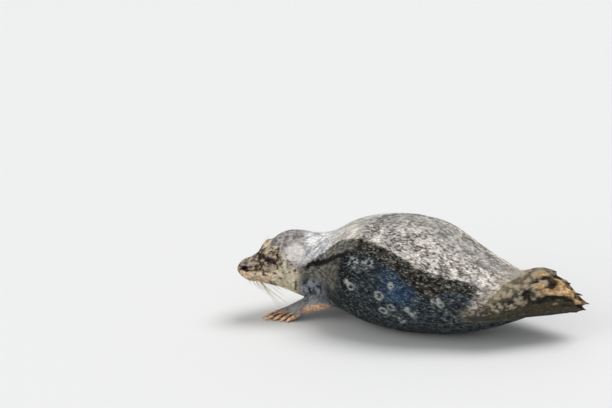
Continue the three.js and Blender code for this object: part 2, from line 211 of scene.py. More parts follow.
def eye_socket(side):
    """The eyeball's centre and the three directions there."""
    point, back, up, out = skin_frame(EYE["along"], np.radians(EYE["angle"]) * side)
    return point - out * (EYE_RADIUS + EYE_SUNK), back, up, out


eye_box = np.array(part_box("eye_left"))
SHIFT = eye_box.mean(0) - eye_socket(1)[0] * MM
print("the spine's zero lies at", SHIFT.round(4), "and the last should be nearly 0")
SHIFT[2] = 0


def to_metres(points):
    """From the spine's millimetres to the frame's metres."""
    return points * MM + SHIFT


# %% [markdown]
# ## Camera, floor and light
# A long lens from a raised place behind the seal's left shoulder keeps the body's lines nearly parallel.
# The floor is plain and pale and fills the view. Two broad far lamps and a pale sky light the seal.

# %% Camera
AZIMUTH, HEIGHT, ROLL = np.radians([36, 19, -5])
AIM = (-0.2756, 0.3068, 6.0)  # metres from the spine's zero to the right, up and back towards the camera


def add_object(name, data):
    """A new object in the scene, at the origin."""
    thing = bpy.data.objects.new(name, data)
    bpy.context.scene.collection.objects.link(thing)
    return thing


camera = add_object("camera", bpy.data.cameras.new("camera"))
camera.data.lens = 135.75
camera.data.sensor_width = 36
camera.data.clip_end = 100
turns = ((AZIMUTH, "Z"), (np.pi / 2 - HEIGHT, "X"), (ROLL, "Z"))
turned = [Matrix.Rotation(angle, 4, axis) for angle, axis in turns]
camera.matrix_world = Matrix.Translation(SHIFT) @ turned[0] @ turned[1] @ turned[2] @ Matrix.Translation(AIM)
bpy.context.scene.camera = camera
print("camera at", camera.matrix_world.translation)

# %% Floor, lamps and sky
bpy.context.scene.view_settings.view_transform = "Standard"
FLOOR_REACH = 20


def mesh_object(name, vertices, faces):
    """A new smooth mesh of vertices, in metres, and faces."""
    mesh = bpy.data.meshes.new(name)
    mesh.from_pydata(np.reshape(vertices, (-1, 3)).tolist(), [], faces, shade_flat=False)
    return add_object(name, mesh)


corners = np.array([(-1, -1, 0), (1, -1, 0), (1, 1, 0), (-1, 1, 0)]) * FLOOR_REACH
floor = mesh_object("floor", corners, [(0, 1, 2, 3)])
floor_paint = bpy.data.materials.new("floor_paint")
floor_paint.use_nodes = True
floor_shader = floor_paint.node_tree.nodes["Principled BSDF"].inputs
floor_shader["Base Color"].default_value = (0.86, 0.86, 0.85, 1)
floor_shader["Roughness"].default_value = 0.8
floor.data.materials.append(floor_paint)


def far_lamp(name, towards, strength, softness):
    """A lamp so far away that its light is even, shining from the given direction."""
    light = bpy.data.lights.new(name, "SUN")
    light.energy, light.angle = strength, np.radians(softness)
    add_object(name, light).rotation_euler = Vector(towards).to_track_quat("Z", "Y").to_euler()


far_lamp("key_lamp", (0.35, 0.25, 1.0), 1.75, 40)
far_lamp("fill_lamp", (-0.5, -1.0, 0.55), 0.75, 60)
sky = bpy.data.worlds.new("studio")
sky.use_nodes = True
sky_shader = sky.node_tree.nodes["Background"].inputs
sky_shader["Color"].default_value = (0.96, 0.98, 1, 1)
sky_shader["Strength"].default_value = 0.42
bpy.context.scene.world = sky
print("floor:", 2 * FLOOR_REACH, "m wide, under two lamps and a pale sky")

# %% [markdown]
# ## The body's skin
# One closed grid runs from nose to tail: rows along the spine, columns round it. Rows are about 1 mm
# apart on the face and 5 mm on the trunk, and columns crowd towards the eyes. Face details are small
# pushes of the surface in or out, each a formula of the place on the head. The skin lies inside the
# solids by the depth of the coat, which is thin on the face and thicker on the body.

# %% Openings of the face
SLIT_LENGTH, SLIT_HEIGHT, SLIT_DEPTH = 16.0, 3.0, 8.0  # the eye's opening: half length and half height
NOSTRIL_LENGTH, NOSTRIL_WIDTH, NOSTRIL_DEPTH = 8.2, 6.0, 8.5
MOUTH_LINE = spline([-2, 9, 34, 60, 84, 92], [120, 121, 124, 127, 127, 120])
MOUTH_CORNER = 86
LIDS = [  # in millimetres from the eye's middle: place, reach of both, rise
    (0, 6, 18, 7, 2.6), (1, -7, 16, 6, 1.8),  # upper and lower lid
    (-19.5, -2.5, 3, 1.6, -1.6), (19.5, -2.5, 4, 1.6, -1.2),  # the slit's two corners
]
NOSE_AND_EAR = [(10, 32, 9, 16, 1.5), (131, 70, 3, 2.6, -4.5)]


def face_plane(spot, along, degrees):
    """Millimetres from an opening's middle, along its slit and across it towards the top line."""
    x, y = along - spot["along"], (spot["angle"] - degrees) * np.radians(1) * spot["ring"]
    lean = np.radians(spot["tilt"])
    return x * np.cos(lean) + y * np.sin(lean), y * np.cos(lean) - x * np.sin(lean)


def slit_distance(x, y):
    """Distance to the lids' edge, negative in the opening, and the direction away from it.

    The opening is a lens: |y| over its half height plus the square of x over its half length is 1."""
    bow = y + 0.006 * x**2  # both lids droop a little towards the corners
    level = np.abs(bow) / SLIT_HEIGHT + (x / SLIT_LENGTH) ** 2 - 1
    gx, gy = 2 * x / SLIT_LENGTH**2, np.sign(bow) / SLIT_HEIGHT
    size = np.hypot(gx, gy)
    return level / size, gx / size, gy / size


def snap_to_lids(along, degrees):
    """Grid points close to the lids' edge are moved onto it, so that the edge is clean."""
    x, y = face_plane(EYE, along, degrees)
    distance, gx, gy = slit_distance(x, y)
    near = (np.abs(distance) < 0.62) & (np.abs(x) < SLIT_LENGTH + 1)
    x, y = x - near * distance * gx, y - near * distance * gy
    lean = np.radians(EYE["tilt"])
    back_along = x * np.cos(lean) - y * np.sin(lean) + EYE["along"]
    return back_along, EYE["angle"] - np.degrees((y * np.cos(lean) + x * np.sin(lean)) / EYE["ring"])


print("the eye's opening:", 2 * SLIT_LENGTH, "mm long and", 2 * SLIT_HEIGHT, "mm high")


# %% Relief of the face
def eye_relief(along, degrees):
    """Lids that bulge over the eyeball, the folds round them, and the opening sunk behind their edge."""
    x, y = face_plane(EYE, along, degrees)
    crease = -1.5 * hump(x, 1, 17) * hump(y + 0.014 * x**2, 14.5, 1.8)
    under_fold = -0.9 * hump(x, 0, 16) * hump(y - 0.016 * x**2, -13.5, 1.6)
    distance = slit_distance(x, y)[0]
    rim = 0.7 * hump(distance, 1.2, 1.0) * (np.abs(x) < SLIT_LENGTH + 4)
    inside = (np.abs(x) < SLIT_LENGTH) * ramp(-distance, 0.05, 1.5)
    return marks(LIDS, x, y) + crease + under_fold + rim - SLIT_DEPTH * inside


def nostril_reach(along, degrees):
    """Distance from the nostril's middle, counted in its own half length and half width."""
    x, y = face_plane(NOSTRIL, along, degrees)
    return np.hypot(x / NOSTRIL_LENGTH, y / NOSTRIL_WIDTH)


def mouth_relief(along, degrees):
    """The closed lips: a narrow groove with a soft roll on each side, ending at the corner."""
    across = (degrees - MOUTH_LINE(along)) * np.radians(1) * np.maximum(side_at(along), 20)
    groove = -2.2 * hump(across, 0, 1.2) + 1.0 * hump(across, -4.2, 3) + 0.8 * hump(across, 4, 3)
    corner = -1.6 * hump(along, MOUTH_CORNER + 1, 4) * hump(across, 0, 3)
    return groove * ramp(along, MOUTH_CORNER + 3, MOUTH_CORNER - 6) * ramp(along, 1, 7) + corner


def follicle_relief(along, degrees):
    """Curved rows of small pits on the whisker pad."""
    row = (degrees - 84) / 8.0
    place = (along - 14 - 1.5 * row) / 6.2
    pit = (np.cos(np.pi * (row - np.round(row))) * np.cos(np.pi * (place - np.round(place)))) ** 8
    pad = ramp(along, 10, 18) * ramp(along, 54, 46) * ramp(degrees, 80, 86)
    return (0.55 * hump(row - np.round(row), 0, 0.3) - 0.9 * pit) * pad * ramp(degrees, 122, 116)


def head_relief(along, degrees):
    """All the face's pushes in and out: eyes, nostrils, lips, pits, nose pad and groove, ears and jowls."""
    reach = nostril_reach(along, degrees)
    nostril = 1.1 * hump(reach, 1.55, 0.4) - NOSTRIL_DEPTH * ramp(reach, 1.12, 0.35)
    nose_groove = -1.6 * hump(degrees, 0, 5) * ramp(along, 22, 10)
    ear_rim = 0.9 * hump(np.hypot((along - 131) / 6, (degrees - 70) / 5), 1, 0.4)
    jowl = 1.2 * hump(degrees - 0.12 * along, 117.2, 6) * hump(along, 88, 22)
    return (eye_relief(along, degrees) + nostril + mouth_relief(along, degrees) + nose_groove + ear_rim
            + follicle_relief(along, degrees) + marks(NOSE_AND_EAR, along, degrees) + jowl)


print("the mouth line is sunk by", round(-float(mouth_relief(50.0, MOUTH_LINE(50.0))), 1), "mm")


# %% Relief of the trunk
def wave_noise(x, y, z, size, seed, layers=3):
    """Smooth noise between -1 and 1: sums of sines along random directions, each layer half the size."""
    draw, total = np.random.default_rng(seed), 0
    for layer in range(layers):
        for _ in range(5):
            way = unit(draw.normal(size=3)) * 2 * np.pi / (size / 2**layer)
            total = total + np.sin(x * way[0] + y * way[1] + z * way[2] + draw.uniform(0, 6.3)) / 2**layer
    return total / 6


def trunk_relief(along, degrees, angle):
    """Folds of loose skin where the neck turns, wrinkles on the shoulder, and a slight unevenness."""
    uneven = wave_noise(along, 150 * np.sin(angle), 150 * np.cos(angle), 90, 3) * ramp(along, 150, 260)
    folds = wave_noise(along + 1.3 * degrees, 0.25 * degrees, 0, 34, 5, 2)
    folds = folds * hump(along + 0.5 * degrees, 215, 34) * (0.4 + 0.9 * ramp(angle, -0.6, 0.9))
    throat = wave_noise(along, 0.2 * degrees, 0, 26, 8, 2) * hump(along, 262, 42) * ramp(degrees, 75, 110)
    ridges = 2.0 * hump(along, 362, 13) - 2.2 * hump(along - 0.1 * degrees, 338, 7)
    return 1.5 * folds + hump(degrees, 80, 24) * ridges + throat + 1.2 * uneven


print("the shoulder's ridge:", round(float(trunk_relief(362.0, 80.0, np.radians(80))), 1), "mm high")


# %% [markdown]
# The grid itself: rows crowd at the nose so that its end is round, and one vertex closes each end.

# %% Body grid
COLUMNS = 192
FLOOR_CLEARANCE = 1.5  # the coat lies between the skin and the floor
COAT_DEPTH_FACE, COAT_DEPTH_BODY = 1.2, 3.0


def body_rows():
    """Distances of the rows: even steps of arc on the rounded ends, fine on the face, wider behind."""
    nose, tail = (END_ROUND * (1 - np.cos(np.linspace(0, np.pi / 2, count)[1:])) for count in (25, 11))
    face = np.arange(END_ROUND + 1.25, 165, 1.25)
    neck = np.arange(face[-1] + 2.2, 300, 2.5)
    trunk = np.arange(neck[-1] + 4, BODY_LENGTH - END_ROUND - 2, 5.0)
    return np.concatenate([nose, face, neck, trunk, BODY_LENGTH - tail[::-1]])


def above_floor(points, clearance):
    """The points, with any that lie lower than the clearance lifted to it."""
    return np.concatenate([points[..., :2], np.maximum(points[..., 2:], clearance)], -1)


def body_skin():
    """Skin points on the grid, with the distance along and the angle round of each."""
    turn = (np.arange(COLUMNS) + 0.5) / COLUMNS * 2 * np.pi - np.pi
    along, turn = np.meshgrid(body_rows(), turn, indexing="ij")
    angle = turn + 0.14 * ramp(along, 260, 150) * np.sin(3 * turn)  # crowds the columns at the eyes
    along, degrees = snap_to_lids(along, np.abs(np.degrees(angle)))
    angle = np.radians(degrees) * np.sign(angle)
    depth = COAT_DEPTH_FACE + (COAT_DEPTH_BODY - COAT_DEPTH_FACE) * ramp(along, 110, 240)
    relief = head_relief(along, degrees) * ramp(along, 160, 140) + trunk_relief(along, degrees, angle)
    return above_floor(body_point(along, angle, relief - depth), FLOOR_CLEARANCE), along, angle


body_points, body_along, body_angle = body_skin()
print("body grid:", len(body_points), "rows of", COLUMNS)

# %% [markdown]
# ## The flippers' skin
# A flipper is a flat limb on a curved path. One parameter runs from its root, hidden inside the body, to
# the tips. The other goes round it, over the back and under the palm. Each of the five digits is a ridge,
# and the web between two digits ends a little short of them. The plans repeat the solids' own values.

# %% Flipper plans
DIGITS = np.array([0.8, 0.4, 0, -0.4, -0.8])
TIP_FROM = 0.97  # of t: beyond it the digits round off
FLIPPER_COAT = 1.0  # depth of the short hair on the limbs, in millimetres
FORE_FLIPPER = {
    "base": 289,
    "t": [0, 0.3, 0.5, 0.7, 1],
    "left": [40, 52, 52, 64, 98],
    "height": [86, 60, 38, 14.5, 4.5],
    "forward": [16, 58, 100, 144, 194],
    "chord": [40, 36, 30, 31, 28],
    "thick": [27, 21, 15, 13, 13],
    "reach": [0.71, 0.8, 0.89, 0.97, 1],
    "root_facing": (0.75, 0.65),
    "tip_facing": (0.3, 0.95),
    "notch": 0.09,
    "claw": {"length": 11, "radius": 3.8, "inset": 9, "lift": 2.6, "droop": 0.75},
}
FORE_FLIPPER_OUT = {**FORE_FLIPPER, "left": [40, 64, 84, 112, 158], "forward": [16, 56, 80, 104, 136]}
HIND_FLIPPER = {
    "base": 794,
    "t": [0, 0.2, 0.4, 0.65, 1],
    "left": [84, 82, 62, 34, 14],
    "height": [94, 106, 122, 140, 127],
    "forward": [120, 60, 0, -75, -168],
    "chord": [22, 33, 48, 62, 46],
    "thick": [38, 39, 33, 21, 10],
    "reach": [0.62, 0.76, 0.91, 0.99, 0.92],
    "root_facing": (1, 0.1),
    "tip_facing": (1, 0.1),
    "notch": 0.05,
    "claw": {"length": 8, "radius": 2.2, "inset": 10, "lift": 1.4, "droop": 0.2},
}
HIND_FLIPPER_LOW = {**HIND_FLIPPER, "height": [92, 100, 109, 120, 112]}
FLIPPERS = {
    "fore_left": (FORE_FLIPPER, 1), "fore_right": (FORE_FLIPPER_OUT, -1),
    "hind_left": (HIND_FLIPPER, 1), "hind_right": (HIND_FLIPPER_LOW, -1),
}
print("flippers:", ", ".join(FLIPPERS))


# %% Flipper surfaces
FLIPPER_ROWS, FLIPPER_COLUMNS = 56, 88


def flipper_shape(plan, side):
    """The limb's three directions, its middle plane and its surface, as functions of t."""
    left, height, forward, chord, thick = (
        spline(plan["t"], plan[key]) for key in ("left", "height", "forward", "chord", "thick"))
    reach = spline([-1, -0.5, 0, 0.5, 1], plan["reach"])
    root, body_back, body_left, _ = frame_at(plan["base"])
    sideways, ahead = body_left * side, unit(-body_back * [1, 1, 0])

    def centre(t):
        place = root + sideways * left(t)[..., None] + ahead * forward(t)[..., None]
        place[..., 2] = height(t)
        return place

    def axes(t):
        run = unit(centre(np.minimum(t + 0.01, 1)) - centre(np.maximum(t - 0.01, 0)))
        mix = ramp(t, 0.1, 0.55)[..., None]
        facing = np.array(plan["root_facing"]) * (1 - mix) + np.array(plan["tip_facing"]) * mix
        facing = sideways * facing[..., :1] + np.array([0, 0, 1.0]) * facing[..., 1:]
        lead = unit(np.cross(run, facing)) * side
        return run, lead, unit(np.cross(lead, run)) * side

    def digit(t, q):
        """How high the digit's ridge is at q, and how far along the path the web or digit has come."""
        ridge = 0.5 + 0.5 * np.cos(2 * np.pi * q / 0.4)
        spread = ramp(t, 0.4, 0.95)
        return ridge, spread, t * (1 + (reach(q) * (1 - plan["notch"] * (1 - ridge)) - 1) * spread)

    def middle(t, q):
        """The plane half way between the back of the limb and its palm."""
        own = digit(t, q)[2]
        return centre(own) + axes(own)[1] * (q * chord(own))[..., None]

    def surface(t, round_way):
        """q = -cos(round) goes across the limb; the height over it is thickness times sin(round)."""
        q, level = -np.cos(round_way), np.sin(round_way)
        ridge, spread, own = digit(t, q)
        _, lead, back = axes(own)
        plump = 1 - 0.38 * (1 - ridge) * spread
        rounded = np.sqrt(1 - 0.97 * np.clip((t - TIP_FROM) / (1 - TIP_FROM), 0, 1) ** 2)
        taper = (1 - 0.45 * ramp(t, 0.8, 1)) * rounded
        thin_edge = 0.7 * np.sign(level) * np.abs(level) ** 0.3 * rounded
        rise = (thick(own) - FLIPPER_COAT) * plump * taper * level + thin_edge
        point = centre(own) + lead * (q * (chord(own) - FLIPPER_COAT))[..., None]
        return point + back * rise[..., None]

    return axes, middle, surface


def around(count):
    """Angles of equal steps round a circle."""
    return np.arange(count) / count * 2 * np.pi


def flipper_skin(plan, side):
    """The limb's grid, with t and the way round of each point and the direction towards the tips."""
    rows = TIP_FROM * (1 - (1 - np.linspace(0, 1, FLIPPER_ROWS)) ** 1.25)
    rows = np.concatenate([rows, TIP_FROM + (1 - TIP_FROM) * np.array([0.35, 0.65, 0.85, 0.97])])
    t, round_way = np.meshgrid(rows, around(FLIPPER_COLUMNS), indexing="ij")
    axes, _, surface = flipper_shape(plan, side)
    return above_floor(surface(t, round_way), FLOOR_CLEARANCE), t, round_way, axes(t)[0]


print("each flipper's grid:", FLIPPER_ROWS + 4, "rows of", FLIPPER_COLUMNS)


# %% [markdown]
# ## One skin
# The five closed shapes overlap. A boolean union keeps their outer surface, and each corner of the mesh
# carries its place on the body with it through the union. Where limb and body meet, the union leaves a
# hard crease. Averaging every vertex there with its neighbours, many times over, makes it soft flesh.

# %% Closed grids
def tube_faces(rows, columns):
    """Quads of a grid that closes round its columns, then triangle fans to the two poles after it."""
    ring = np.arange(columns)
    after = (ring + 1) % columns
    row, last = np.arange(rows - 1)[:, None] * columns, (rows - 1) * columns
    quads = np.stack([row + ring, row + after, row + columns + after, row + columns + ring], -1)
    pole = ring * 0 + rows * columns
    fans = np.stack([[pole, after, ring], [pole + 1, last + ring, last + after]]).transpose(0, 2, 1)
    return quads.reshape(-1, 4).tolist() + fans.reshape(-1, 3).tolist()


def with_poles(grid, poles=2):
    """The grid's rows of vectors as one list, then the mean of its first ring and of its last."""
    ends = np.stack([grid[0].mean(0), grid[-1].mean(0)])[:poles]
    return np.concatenate([grid.reshape(-1, 3), ends])


def closed_object(name, vertices, faces):
    """A mesh object with its normals recalculated so that every face points out."""
    thing, work = mesh_object(name, vertices, faces), bmesh.new()
    work.from_mesh(thing.data)
    bmesh.ops.remove_doubles(work, verts=work.verts, dist=1e-7)
    bmesh.ops.recalc_face_normals(work, faces=work.faces)
    work.to_mesh(thing.data)
    work.free()
    return thing


def read(collection, key, width=1, kind=np.int32):
    """One value of every item of a mesh's collection, as an array."""
    values = np.empty(len(collection) * width, kind)
    collection.foreach_get(key, values)
    return values.reshape(-1, width) if width > 1 else values


def write_numbers(mesh, numbers, domain="POINT"):
    """Named values of three numbers, as attributes of the mesh's points or corners."""
    for label, values in numbers.items():
        layer = mesh.attributes.new(label, "FLOAT_VECTOR", domain)
        layer.data.foreach_set("vector", np.asarray(values, np.float32).ravel())


print("a closed grid of 3 rows of 4 has", len(tube_faces(3, 4)), "faces")


# %% Join body and flippers
def closed_part(name, points, number, spot, lie, limb):
    """A closed grid as an object whose corners carry their place on the body.

    A flipper ends in a flat ring, with quads sewn across it in place of a fan."""
    rows, columns = points.shape[:2]
    faces, poles = tube_faces(rows, columns), 2
    if number:
        near = np.arange(columns // 2)
        sewn = np.stack([near, near + 1, columns - near - 1, (columns - near) % columns], -1)
        faces, poles = faces[:-columns] + (sewn + (rows - 1) * columns).tolist(), 1
    part = closed_object(name, to_metres(with_poles(points, poles)), faces)
    corner = read(part.data.loops, "vertex_index")
    numbers = {"spot": spot, "lie": lie, "limb": limb}
    write_numbers(part.data, {k: with_poles(v, poles)[corner] for k, v in numbers.items()}, "CORNER")
    layer = part.data.attributes.new("part", "INT", "FACE")
    layer.data.foreach_set("value", np.full(len(part.data.polygons), number, np.int32))
    return part


def body_part():
    """The trunk with distance along, sine and cosine of the angle at every corner."""
    spot = np.stack([body_along, np.sin(body_angle), np.cos(body_angle)], -1)
    return closed_part("seal_skin", body_points, 0, spot, unit(np.gradient(body_points, axis=0)), spot * 0)


def limb_part(number, plan, side):
    """A flipper with t, q and its upper or lower side at every corner."""
    points, t, round_way, run = flipper_skin(plan, side)
    limb = np.stack([t, -np.cos(round_way), np.sin(round_way)], -1)
    spot = np.broadcast_to([plan["base"], side * 0.9, -0.3], limb.shape)
    return closed_part(f"flipper_{number}", points, number, spot, run, limb)


def united(trunk, limbs):
    """The outer surface of all the parts as one mesh object."""
    for limb in limbs:
        join = trunk.modifiers.new("join", "BOOLEAN")
        join.operation, join.solver, join.object = "UNION", "MANIFOLD", limb
    graph = bpy.context.evaluated_depsgraph_get()
    mesh = bpy.data.meshes.new_from_object(trunk.evaluated_get(graph))
    for part in (trunk, *limbs):
        bpy.data.objects.remove(part)
    return add_object("seal_skin", mesh)


skin = united(body_part(), [limb_part(i + 1, *plan) for i, plan in enumerate(FLIPPERS.values())])
mesh = skin.data
print("skin:", len(mesh.vertices), "vertices,", len(mesh.polygons), "faces")

# %% Read the mesh into arrays
points = read(mesh.vertices, "co", 3, np.float32).astype(float)
corner_vertex = read(mesh.loops, "vertex_index")
corner_part = np.repeat(read(mesh.attributes["part"].data, "value"), read(mesh.polygons, "loop_total"))
edges = read(mesh.edges, "vertices", 2)
here, there = np.concatenate([edges, edges[:, ::-1]]).T
COUNT = len(points)


def over_vertices(values, chosen):
    """The mean of the chosen corners' values at each vertex, and how many those were."""
    vertex = corner_vertex[chosen]
    number = np.bincount(vertex, minlength=COUNT)
    total = np.stack([np.bincount(vertex, v, COUNT) for v in values[chosen].T], -1)
    return total / np.maximum(number, 1)[:, None], number


def neighbours_mean(values):
    """The mean of the values at the other ends of each vertex's edges."""
    total = np.stack([np.bincount(here, v[there], COUNT) for v in values.T], -1)
    return total / np.maximum(np.bincount(here, minlength=COUNT), 1)[:, None]


spot, lie, limb = (read(mesh.attributes[k].data, "vector", 3, np.float32) for k in ("spot", "lie", "limb"))
spot, body_corners = over_vertices(spot, corner_part == 0)
limb, limb_corners = over_vertices(limb, corner_part > 0)
lie, _ = over_vertices(lie, corner_part >= 0)
whose, _ = over_vertices(corner_part[:, None].astype(float), corner_part > 0)
on_limb, limb_number = limb_corners > 0, np.round(whose[:, 0]).astype(int)
seam = points[(body_corners > 0) & on_limb][::8]
to_seam = np.concatenate([
    np.sqrt(((some[:, None] - seam[None]) ** 2).sum(-1)).min(1) for some in np.array_split(points, 40)])
print("joining line:", len(seam), "vertices")

# %% Soften the joins
SOFT_NEAR, SOFT_FAR = 0.004, 0.026  # metres from the joining line
give = ramp(to_seam, SOFT_FAR, SOFT_NEAR)[:, None]
limb_share = on_limb.astype(float)[:, None]
for _ in range(36):
    points += 0.6 * give * (neighbours_mean(points) - points)
    limb_share += give * (neighbours_mean(limb_share) - limb_share)
    lie += give * (neighbours_mean(lie) - lie)
unknown = (body_corners == 0)[:, None]
spot = np.where(unknown, [300.0, 0.9, -0.3], spot)
for _ in range(80):
    spot = np.where(unknown, neighbours_mean(spot), spot)
points = above_floor(points, FLOOR_CLEARANCE * MM)
mesh.vertices.foreach_set("co", points.astype(np.float32).ravel())
mesh.polygons.foreach_set("use_smooth", np.ones(len(mesh.polygons), bool))
for label in ("spot", "lie", "limb", "part", "sharp_face"):
    if label in mesh.attributes:
        mesh.attributes.remove(mesh.attributes[label])
mesh.update()
print("softened vertices:", int((give > 0).sum()))

# %% [markdown]
# ## Where the markings lie
# The coat's pattern is made of broad regions and fine detail. The regions are smooth numbers worked out
# here at every vertex: how far a place is from the edge of the wet flank, whose darkness is partly painted
# shade, how much it belongs to a flipper, and the soft masks of the face. The material later breaks their
# edges up with noise. Tufts take the numbers of the skin at their root, so that skin and coat always carry
# the same markings.

# %% Tables of marks
# Upper and lower edge of the dark band, half-dry hair and painted shade: distances down the spine, degrees
# from the top line there.
BAND_TOP = spline([140, 180, 220, 260, 300, 340, 380, 460, 540, 600, 680, 730],
                  [90, 69, 55, 44, 40, 37, 37, 43, 52, 56, 54, 58])
BAND_FOOT = spline([140, 160, 180, 200, 240, 300, 350, 400, 440, 500, 540, 580, 600, 640, 690, 730],
                   [92, 84, 78, 72, 65, 61, 57, 53, 54, 62, 69, 81, 85, 71, 70, 78])
# Brown-black marks on the face, two of them the painted shadow round the nostril: along, degrees, reach
# along, reach round in degrees, strength.
FACE_SPOTS = [
    (44, 60, 4.5, 5, 1), (46, 69, 2, 5, 0.7), (55, 44, 3.5, 4, 1), (57, 53, 4, 6, 0.7), (60, 63, 5, 7, 0.7),
    (65, 77, 4, 3, 0.9), (64, 92, 3, 10, 0.8), (55, 29, 4, 7, 0.9), (62, 38, 5, 5, 1),
    (69, 45, 4, 3.5, 0.8), (27, 32, 4, 12, 0.5), (12, 49, 3.5, 7, 1.1), (19, 58, 5, 7, 1),
    (23, 74, 4.5, 8, 1.1), (104, 51, 4, 4, 0.8), (107, 60, 3, 3, 0.9), (101, 74, 2.8, 6, 1),
    (119, 64, 3, 3, 0.8), (113, 76, 3.2, 2.4, 0.8), (109, 97, 3.5, 3, 1), (93, 86, 4.5, 2.4, 1),
    (93, 98, 2, 4, 0.8), (75, 85, 3, 3, 0.8), (70, 93, 3, 4, 0.8), (37, 87, 2.6, 2.4, 0.8),
    (55, 85, 2, 3, 0.6), (134, 67, 2.4, 2.4, 0.7), (139, 73, 2.4, 3, 0.8), (127, 77, 2.4, 2.6, 0.7),
    (148, 82, 4, 2.6, 0.9), (133, 85, 2.4, 2.4, 0.7), (115, 85, 2.4, 2.4, 0.7), (156, 88, 3, 3, 0.8),
    (88, 39, 5, 1.6, 0.7), (98, 43, 5, 1.6, 0.7), (126, 94, 2.4, 2.4, 0.6), (140, 96, 2.4, 2.6, 0.6),
    # the marks at along 21 and 27 in the next row paint the nostril's shadow
    (120, 104, 2.6, 2.6, 0.6), (84, 104, 2.4, 3, 0.5), (21, 77, 4, 6, 1.1), (27, 62, 3, 6, 0.8),
    (36, 50, 3, 4, 0.5), (50, 74, 2.5, 3, 0.6), (78, 74, 3, 2.6, 0.6),
]
# Pale marks: brow patches, the crescent behind the eye, streaks on the whisker pad.
FACE_LIGHTS = [
    (102, 34, 6, 4, 0.9), (76, 36, 5, 4, 0.8), (79, 26, 9, 6, 0.8), (118, 56, 3.4, 6, 1.3),
    (121, 65, 3.4, 7, 1.5), (118, 76, 4, 5, 1.2), (108, 82, 4, 2.4, 0.7), (110, 80, 5, 2.4, 0.7),
    (82, 93, 9, 5, 0.7), (48, 48, 4, 4, 0.5), (84, 37, 7, 2, 0.6), (100, 47, 5, 2, 0.5),
]
# Marks on the hind flippers: how far towards the tip, how far across, reach of both, strength.
HIND_BLACKS = [
    (0.8, -0.25, 0.06, 0.07, 1.1), (0.87, -0.36, 0.06, 0.09, 1), (0.92, -0.48, 0.05, 0.06, 0.8),
    (0.6, 0.24, 0.13, 0.12, 1.2), (0.76, 0.2, 0.1, 0.06, 1), (0.5, -0.16, 0.04, 0.22, 1),
    (0.66, -0.54, 0.08, 0.06, 0.9), (1, 0.04, 0.03, 0.09, 0.7), (0.36, -0.05, 0.04, 0.15, 0.7),
    (0.88, 0.34, 0.07, 0.08, 0.7), (0.95, -0.64, 0.04, 0.07, 0.4),
]
HIND_GOLDS = [
    (0.69, -0.36, 0.1, 0.14, 1.2), (0.84, -0.04, 0.18, 0.16, 1.5), (0.97, -0.34, 0.08, 0.2, 1.6),
    (0.94, 0.12, 0.07, 0.12, 1.6), (0.95, -0.78, 0.06, 0.12, 0.9), (0.74, 0.48, 0.08, 0.1, 0.6),
    (0.96, 0.4, 0.05, 0.14, 0.8),
]
print("marks on the face:", len(FACE_SPOTS), "dark and", len(FACE_LIGHTS), "pale")


# %% Masks
def above_band(along, degrees):
    """Millimetres above the band's upper edge and above its lower edge, measured round the body."""
    turn, held = np.radians(degrees), np.clip(along, 140, 730)
    tall = np.where(degrees < 90, top_at(along), under_at(along))
    radius = np.hypot(side_at(along) * np.sin(turn), tall * np.cos(turn))
    return [(edge(held) - degrees) * np.radians(1) * radius for edge in (BAND_TOP, BAND_FOOT)]


def face_masks(along, degrees, turn):
    """Shares of dark marks and painted shade, cream and bare skin, then of brown face fur, white nape patch
    and orange muzzle.
    """
    x, y = face_plane(EYE, along, degrees)
    bridge_edge = hump(along - 0.35 * degrees, 52, 5) * ramp(degrees, 44, 30) * ramp(along, 30, 44)
    # painted shade under the jaw at the mouth's corner
    jaw_shade_wedge = ramp(degrees + 0.9 * along, 183, 193) * ramp(degrees, 146, 130) * ramp(along, 62, 72)
    jaw_shade_wedge = jaw_shade_wedge * ramp(along, 110, 92)
    # painted shadow in the fold between head and neck
    neck_fold_shadow = hump(along, 148, 4) * ramp(degrees, 96, 106) * ramp(degrees, 146, 126)
    dark = marks(FACE_SPOTS, along, degrees) + 0.9 * bridge_edge + 0.5 * jaw_shade_wedge + 0.75 * neck_fold_shadow
    low_muzzle = ramp(degrees, 74, 92) * ramp(along, 92, 60)
    cheek = ramp(degrees, 58, 92) * ramp(along, 70, 96) * ramp(along, 185, 150)
    far_brow = 1.3 * hump(along, 80, 12) * hump(turn, -16, 14)
    cream = low_muzzle + 0.8 * cheek + marks(FACE_LIGHTS, along, degrees) + far_brow
    lid_skin = marks([(-3, 3.5, 17, 5, 0.76), (-16, -1, 6, 6, 0.66)], x, y)
    lid_line = hump(y + 0.006 * x**2 - 2.2 * (1 - (x / 20) ** 2), 0, 1.5) * ramp(np.abs(x), 25, 19)
    lid_edge = 0.9 * hump(slit_distance(x, y)[0], 0, 1.5) * (np.abs(x) < 19)
    nostril = ramp(nostril_reach(along, degrees), 1.5, 0.7)
    lips = 0.9 * hump(degrees, MOUTH_LINE(along), 2.4) * ramp(along, 92, 84)
    bare = np.maximum.reduce([lid_skin, lid_line, lid_edge, nostril, lips])
    above_brow = ramp(along, 66, 84) * ramp(degrees, 38, 24)
    brown = ramp(along - 0.25 * (degrees - 60), 124, 104) * ramp(degrees, 100, 84) * (1 - above_brow)
    nape = 1.3 * hump(along, 149, 22) * hump(degrees, 53, 16)
    orange = marks([(24, 98, 9, 14, 1.0), (78, 104, 9, 9, 0.6)], along, degrees)
    return np.clip([dark, cream, bare, brown, nape, orange], 0, 1.5)


